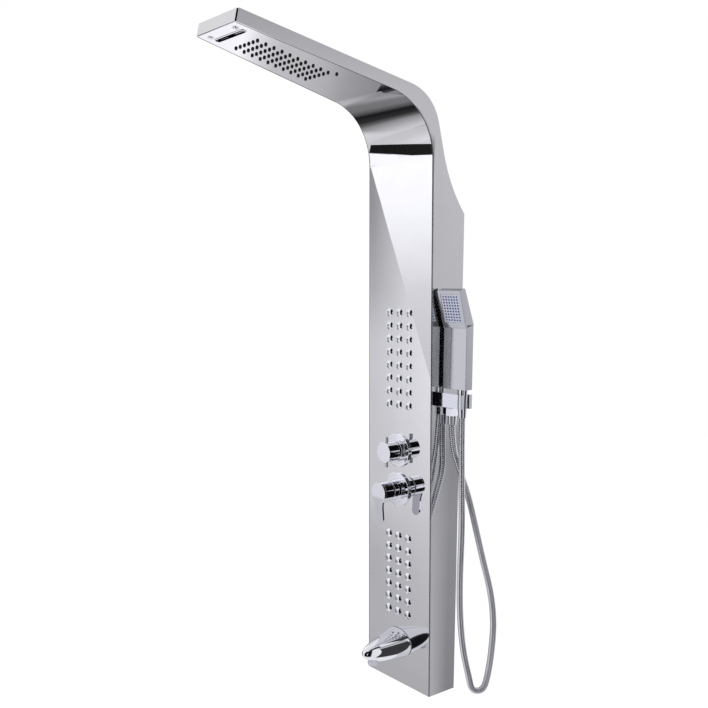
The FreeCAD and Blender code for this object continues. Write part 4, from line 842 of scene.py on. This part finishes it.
class SHOWERPANEL_OT_hand_shower(PieceOperator, bpy.types.Operator):
    """Build the hand shower's shell and spray nubs, and finish its spray plate, inlet and cone nut"""
    bl_idname = "shower_panel.hand_shower"
    bl_label = "Hand shower"

    def build(self, sizes):
        finish_node("spray_plate", "hand_shower_inlet", "hose_cone_nut")
        foot, top = 668, 803
        section = [(-30, -6.5), (30, -6.5), (30, -28.5), (0, -31.5), (-30, -28.5)]
        handle = mesh_from("handle", lofted([[(x, y, z) for x, y in section] for z in (foot, top)]))
        handle.transform(handset_matrix())
        head = mesh_from("head", shower_head())
        head.transform(head_matrix())
        shell = joined(rounded_edges(handle, sizes.edge_round, 8), rounded_edges(head, sizes.edge_round))
        place_piece("hand_shower_shell", shell, ["hand_shower_body"], crease=None)
        nub = mesh_from("nub", turned([(0, 0), (1.7, 0), (1.7, 2.6), (1.3, 3.4), (0, 3.4)], 12))
        nub.transform(unmoved(head_matrix()) @ Matrix.Rotation(math.pi / 2, 4, "X"))
        places = [head_matrix() @ Vector(((column - 2.5) * 7, 3.0, 42 + (row - 4) * 6.2))
                  for row in range(9) for column in range(6)]
        repeated("spray_nubs", nub, places, ["spray_nozzle_mat"], backing="spray_nozzle_mat")


def shower_head():
    """The head: a wedge, thicker at its foot, with a pocket in its front for the spray plate."""
    wide, high, thin, thick = 30, 80, 18, 27      # half its width, its height, and its depth at top and foot
    pocket, low, up, deep = 23.5, 12, 72, 3.2     # half its width, its lower and upper edge, and its depth
    bm = bmesh.new()

    def row(half, bottom, top, behind_bottom, behind_top):
        corners = ((-half, behind_bottom, bottom), (half, behind_bottom, bottom), (half, behind_top, top),
                   (-half, behind_top, top))
        return [bm.verts.new(p) for p in corners]

    back = row(wide, 0, high, thick, thin)
    front = row(wide, 0, high, 0, 0)
    rim = row(pocket, low, up, 0, 0)
    floor = row(pocket, low, up, deep, deep)
    for near, far in ((back, front), (front, rim), (rim, floor)):
        for i in range(4):
            j = (i + 1) % 4
            bm.faces.new([near[i], near[j], far[j], far[i]])
    bm.faces.new(back)
    bm.faces.new(floor)
    return bm


class SHOWERPANEL_OT_hose(PieceOperator, bpy.types.Operator):
    """Build the ribbed metal hose from the outlet nut round to the hand shower"""
    bl_idname = "shower_panel.hose"
    bl_label = "Metal hose"

    def build(self, sizes):
        curve = bpy.data.curves.new("hose_line", "CURVE")
        curve.dimensions = "3D"
        curve.resolution_u = 24
        spline = curve.splines.new("NURBS")
        spline.points.add(len(HOSE_ROUTE) - 1)
        for point, (x, y, z) in zip(spline.points, HOSE_ROUTE):
            point.co = (x * MM, y * MM, (z + FOOT) * MM, 1)
        spline.order_u = 3
        spline.use_endpoint_u = True
        line_object = in_scene("hose_line", curve)
        line = evaluated_mesh(line_object)
        bpy.data.objects.remove(line_object)
        made = run_tree("shower_hose", ribbed_tree(), line,
                        {"Radius": sizes.hose_diameter / 2, "Pitch": sizes.hose_rib_pitch,
                         "Depth": sizes.hose_rib_depth, "Finish": FINISHES["hose"]})
        fix_normals(made)
        hose = place_piece("ribbed_hose", made, ["shower_hose"], "hose", crease=60)


class SHOWERPANEL_OT_tubes(PieceOperator, bpy.types.Operator):
    """Finish the water tubes inside the column"""
    bl_idname = "shower_panel.tubes"
    bl_label = "Water tubes"

    def build(self, sizes):
        finish_node("waterfall_tube", "rain_tube", "upper_jet_tube", "jet_link_tube", "spout_tube",
                    "hand_shower_tube", "valve_link_tube")


# ------------------------------------------------------------------ the stage
def ray_seen(tree):
    """1 where a ray comes from the camera, a glossy surface or a clear one."""
    ray = add(tree, "ShaderNodeLightPath").outputs
    seen = ray["Is Camera Ray"]
    for kind in ("Is Glossy Ray", "Is Transmission Ray"):
        seen = add(tree, "ShaderNodeMath", {0: seen, 1: ray[kind]}, operation="MAXIMUM").outputs[0]
    return seen


def white_world():
    """A white room; it lights the object a little less, and a little bluer, than it shows."""
    world = bpy.data.worlds.new("white_studio")
    bpy.context.scene.world = world
    tree = empty_tree(world)
    seen = add(tree, "ShaderNodeBackground", {"Color": (1, 1, 1, 1), "Strength": 1.0}).outputs[0]
    light = add(tree, "ShaderNodeBackground", {"Color": (0.95, 0.96, 1.0, 1), "Strength": 0.75}).outputs[0]
    mix = add(tree, "ShaderNodeMixShader", {0: ray_seen(tree), 1: light, 2: seen})
    add(tree, "ShaderNodeOutputWorld", {"Surface": mix.outputs[0]})


def sheet(name, corners):
    """A flat sheet that belongs to the studio and not to the object."""
    mesh = bpy.data.meshes.new(name)
    mesh.from_pydata(corners, [], [(0, 1, 2, 3)])
    made = in_scene(name, mesh)
    return made


def pale_floor():
    """White paper under the object, which shows its shadow; the metal sees the boards below it instead."""
    reach, low = 7.0, -1.15
    corners = [(-reach, -reach, low), (reach, -reach, low), (reach, reach, low), (-reach, reach, low)]
    floor = sheet("floor", corners)
    floor.visible_glossy = False
    material = bpy.data.materials.new("pale_floor_paper")
    tree = empty_tree(material)
    glow = add(tree, "ShaderNodeEmission", {"Color": (1, 1, 1, 1), "Strength": 0.62}).outputs[0]
    paper = add(tree, "ShaderNodeBsdfDiffuse", {"Color": (0.55, 0.55, 0.55, 1)}).outputs[0]
    both = add(tree, "ShaderNodeAddShader", {0: glow, 1: paper}).outputs[0]
    plain = add(tree, "ShaderNodeBsdfDiffuse", {"Color": (0.8, 0.8, 0.8, 1)}).outputs[0]
    mix = add(tree, "ShaderNodeMixShader", {0: ray_seen(tree), 1: plain, 2: both})
    add(tree, "ShaderNodeOutputMaterial", {"Surface": mix.outputs[0]})
    floor.data.materials.append(material)


def shown(grey):
    """The light that a board gives so that the polished steel shows it as this grey, 0 to 255."""
    return linear(f"{grey:02X}" * 3)[0] / STEEL_SHARE


def greys_along(tree, place, greys):
    """Greys graded along one direction: greys are (metres, grey) pairs in rising order."""
    low, high = greys[0][0], greys[-1][0]
    share = add(tree, "ShaderNodeMapRange", {"Value": place, "From Min": low, "From Max": high})
    ramp = add(tree, "ShaderNodeValToRGB", {"Fac": share.outputs["Result"]})
    elements = ramp.color_ramp.elements
    while len(elements) < len(greys):
        elements.new(0.5)
    for element, (metres, grey) in zip(elements, greys):
        element.position = (metres - low) / (high - low)
        light = shown(grey)
        element.color = (light, light, light * 1.03, 1)
    return ramp.outputs["Color"]


def faded(tree, place, start, end, first, second):
    """The first greys up to the start of a stretch, the second beyond its end, and both mixed between."""
    share = add(tree, "ShaderNodeMapRange", {"Value": place, "From Min": start, "From Max": end})
    inputs = {0: share.outputs["Result"], 6: first, 7: second}
    return add(tree, "ShaderNodeMix", inputs, data_type="RGBA").outputs[2]


def glowing_board(name, corners, backed=True):
    """A studio board that only polished metal sees; gives its tree, its glow and its X, Y and Z in metres.

    One that isn't backed can't be seen from the side that its corners run round anticlockwise.
    """
    made = sheet(name, corners)
    for ray in ("camera", "diffuse", "shadow", "transmission"):
        setattr(made, f"visible_{ray}", False)
    material = bpy.data.materials.new(name)
    tree = empty_tree(material)
    glow = add(tree, "ShaderNodeEmission")
    seen = glow.outputs[0]
    if not backed:
        behind = add(tree, "ShaderNodeNewGeometry").outputs["Backfacing"]
        clear = add(tree, "ShaderNodeBsdfTransparent").outputs[0]
        seen = add(tree, "ShaderNodeMixShader", {0: behind, 1: clear, 2: seen}).outputs[0]
    add(tree, "ShaderNodeOutputMaterial", {"Surface": seen})
    made.data.materials.append(material)
    place = add(tree, "ShaderNodeTexCoord").outputs["Object"]
    return tree, glow.inputs["Color"], add(tree, "ShaderNodeSeparateXYZ", {0: place}).outputs


def graded_board(name, corners, axis, greys, backed=True):
    """A studio board whose greys are graded along one axis."""
    tree, glow, at = glowing_board(name, corners, backed)
    tree.links.new(greys_along(tree, at[axis], greys), glow)


def upright(start, end, low, high):
    """The corners of an upright board above the line from start to end in X and Y."""
    return [(*start, low), (*end, low), (*end, high), (*start, high)]


def front_board():
    """What the front face shows: soft greys, and above a slanting edge a bright sheet."""
    y = -1.5
    tree, glow, at = glowing_board("front_board", upright((-2.8, y), (-0.9, y), -2.6, 1.4))
    left = greys_along(tree, at["Z"], [(-1.6, 168), (-1.3, 174), (-1.02, 173), (-0.87, 180), (-0.72, 194),
                                       (-0.43, 196), (0.0, 199), (0.13, 190), (0.27, 173), (0.41, 165),
                                       (0.54, 156), (0.68, 148)])
    right = greys_along(tree, at["Z"], [(-1.6, 168), (-1.34, 177), (-0.93, 189), (-0.65, 203), (-0.38, 214),
                                        (-0.12, 221), (0.3, 223)])
    bright = greys_along(tree, at["Z"], [(-0.15, 198), (0.0, 200), (0.15, 206), (0.28, 213), (0.4, 228),
                                         (0.53, 241), (0.66, 251), (0.8, 255)])
    # the edge runs from (-1.76, 0.84) down to (-1.36, -0.14) in X and Z
    fall, height = 2.45, -3.472
    slant = add(tree, "ShaderNodeMath", {0: at["X"], 1: fall, 2: at["Z"]}, operation="MULTIPLY_ADD")
    above = add(tree, "ShaderNodeMath", {0: slant.outputs[0], 1: height}, operation="GREATER_THAN")
    greys = faded(tree, at["X"], -1.74, -1.4, left, right)
    mix = add(tree, "ShaderNodeMix", {0: above.outputs[0], 6: greys, 7: bright}, data_type="RGBA")
    tree.links.new(mix.outputs[2], glow)


def side_board():
    """What the right side wall shows, from its front to its back edge; nearer the camera it is unlit."""
    x, lit_from = 1.6, 1.2
    tree, glow, at = glowing_board("side_board", upright((x, -0.2), (x, 2.4), -2.6, 2.2))
    front = greys_along(tree, at["Z"], [(-1.5, 170), (-0.7, 163), (-0.35, 152), (0.1, 178), (0.9, 185),
                                        (1.1, 184), (1.4, 150)])
    back = greys_along(tree, at["Z"], [(-1.5, 131), (-1.28, 135), (-0.72, 141), (-0.4, 136), (-0.1, 176),
                                       (0.2, 181), (0.9, 188)])
    lit = faded(tree, at["Y"], 1.4, 1.5, front, back)
    unlit = greys_along(tree, at["Y"], [(-0.2, 50), (0.9, 56), (lit_from, 150)])
    low = add(tree, "ShaderNodeMapRange", {"Value": at["Z"], "From Min": 0.97, "From Max": 0.93})
    near = add(tree, "ShaderNodeMath", {0: at["Y"], 1: lit_from}, operation="LESS_THAN").outputs[0]
    both = add(tree, "ShaderNodeMath", {0: low.outputs["Result"], 1: near}, operation="MULTIPLY").outputs[0]
    mix = add(tree, "ShaderNodeMix", {0: both, 6: lit, 7: unlit}, data_type="RGBA")
    tree.links.new(mix.outputs[2], glow)


def arm_board():
    """What the arm's underside shows, bright at the tip, and below it the dark that the bend gathers."""
    x = -1.5
    tree, glow, at = glowing_board("arm_board", upright((x, 1.6), (x, -1.12), -1.3, 0.6))
    under = greys_along(tree, at["Y"], [(-1.12, 205), (-0.5, 220), (0.1, 238), (0.21, 240), (0.27, 212),
                                        (0.36, 186), (0.5, 180), (0.6, 170), (0.71, 150), (0.84, 135),
                                        (1.2, 120)])
    bend = greys_along(tree, at["Y"], [(-1.12, 205), (-1.0, 188), (-0.85, 165), (-0.72, 140), (-0.62, 90),
                                       (-0.5, 45), (-0.25, 24), (-0.12, 80), (0.05, 112), (0.3, 118),
                                       (0.5, 150), (0.76, 125)])
    tree.links.new(faded(tree, at["Z"], -0.34, -0.22, bend, under), glow)


def dark_wall():
    """The unlit side of the studio, round the camera and over it: black flanks on knob, spout and jets."""
    graded_board("dark_wall", upright((0.3, -2.718), (2.2, -0.968), -2.4, 2.8), "X",
                 [(0.3, 90), (0.5, 30), (0.95, 14), (2.0, 10), (2.2, 60)])
    graded_board("dark_ceiling", [(0.8, -1.4, 3.0), (2.3, -1.4, 3.0), (2.3, 0.1, 3.0), (0.8, 0.1, 3.0)], "X",
                 [(0.8, 110), (1.2, 60), (2.3, 50)])


def camera_cards():
    """Lit cards beside the camera, seen twice over: in the holder, along the knob and in the hand shower."""
    for name, left, right, low, high, grey in (("low_card", 1.45, 1.59, -0.75, -0.085, 245),
                                               ("high_card", 1.50, 1.66, -0.08, 0.4, 200)):
        start, end = ((x, -1.60 + (x - 1.50) * 0.921) for x in (left, right))
        graded_board(name, upright(start, end, low, high), "Z", [(low, grey - 8), (high, grey)])


def bend_flags():
    """Two flags close in front of the bend: a black band at the bend's foot, and white below it."""
    y = -0.14
    black = [(-0.147, y, 0.6285), (0.053, y, 0.6185), (0.056, y, 0.628), (-0.134, y, 0.6355)]
    white = [(-0.150, y, 0.6145), (-0.055, y, 0.6145), (-0.055, y, 0.6233), (-0.147, y, 0.628)]
    graded_board("black_flag", black, "X", [(-0.14, 24), (0.04, 30)], backed=False)
    graded_board("white_flag", white, "X", [(-0.16, 250), (0.0, 255)], backed=False)


def soft_light(name, place, aim, size, power):
    """A square lamp that the metal doesn't show."""
    lamp = bpy.data.lights.new(name, "AREA")
    lamp.shape = "SQUARE"
    lamp.size = size
    lamp.energy = power
    made = in_scene(name, lamp)
    made.location = place
    made.rotation_euler = (Vector(aim) - Vector(place)).to_track_quat("-Z", "Y").to_euler()
    made.visible_glossy = False


def photo_camera():
    """The camera that was fitted to the column's edges."""
    place = (1.451, -1.396, 0.359)
    yaw, pitch, roll = math.radians(50.83), math.radians(4.60), math.radians(0.75)
    focal_pixels, photo_pixels = 906.0, 708
    forward = Vector((-math.sin(yaw) * math.cos(pitch), math.cos(yaw) * math.cos(pitch), -math.sin(pitch)))
    side = Vector((math.cos(yaw), math.sin(yaw), 0))
    up = side.cross(forward)
    right = side * math.cos(roll) + up * math.sin(roll)
    up = up * math.cos(roll) - side * math.sin(roll)
    camera = bpy.data.cameras.new("photo_camera")
    camera.sensor_width = 36.0
    camera.lens = focal_pixels / photo_pixels * camera.sensor_width
    made = in_scene("photo_camera", camera)
    basis = Matrix((right, up, -forward)).transposed()
    made.matrix_world = Matrix.Translation(place) @ basis.to_4x4()
    bpy.context.scene.camera = made


class SHOWERPANEL_OT_stage(bpy.types.Operator):
    """Set up the white studio, its boards and lights, and the camera"""
    bl_idname = "shower_panel.stage"
    bl_label = "Studio"

    def execute(self, context):
        context.scene.view_settings.view_transform = "Standard"
        white_world()
        pale_floor()
        front_board()
        side_board()
        arm_board()
        dark_wall()
        camera_cards()
        bend_flags()
        soft_light("key_light", (-1.4, -2.4, 2.2), (0, 0, 0.2), 1.6, 26)
        soft_light("fill_light", (2.4, -0.6, 1.2), (0, 0, 0.1), 1.6, 14)
        photo_camera()
        return {"FINISHED"}


class SHOWERPANEL_PT_panel(bpy.types.Panel):
    """Lists the pieces, and the sizes and colours that can be changed"""
    bl_label = "Shower Panel Column"
    bl_idname = "SHOWERPANEL_PT_panel"
    bl_space_type = "VIEW_3D"
    bl_region_type = "UI"
    bl_category = "Shower Panel"

    def draw(self, context):
        for settings in (context.scene.shower_panel_colours, context.scene.shower_panel_sizes):
            box = self.layout.box()
            for name in settings.__annotations__:
                box.prop(settings, name)
        for operator in OPERATORS:
            self.layout.operator(operator.bl_idname)


OPERATORS = (
    SHOWERPANEL_OT_finishes,
    SHOWERPANEL_OT_stage,
    SHOWERPANEL_OT_column,
    SHOWERPANEL_OT_wall_fixing,
    SHOWERPANEL_OT_body_jets,
    SHOWERPANEL_OT_arm_outlets,
    SHOWERPANEL_OT_diverter,
    SHOWERPANEL_OT_mixer,
    SHOWERPANEL_OT_spout,
    SHOWERPANEL_OT_holder,
    SHOWERPANEL_OT_hand_shower,
    SHOWERPANEL_OT_hose,
    SHOWERPANEL_OT_tubes,
)
CLASSES = (ShowerPanelColours, ShowerPanelSizes) + OPERATORS + (SHOWERPANEL_PT_panel,)


def register():
    for made in CLASSES:
        bpy.utils.register_class(made)
    bpy.types.Scene.shower_panel_colours = PointerProperty(type=ShowerPanelColours)
    bpy.types.Scene.shower_panel_sizes = PointerProperty(type=ShowerPanelSizes)


def unregister():
    del bpy.types.Scene.shower_panel_sizes
    del bpy.types.Scene.shower_panel_colours
    for made in reversed(CLASSES):
        bpy.utils.unregister_class(made)


def main():
    register()
    for operator in OPERATORS:
        group, name = operator.bl_idname.split(".")
        getattr(getattr(bpy.ops, group), name)()


if __name__ == "__main__":
    main()
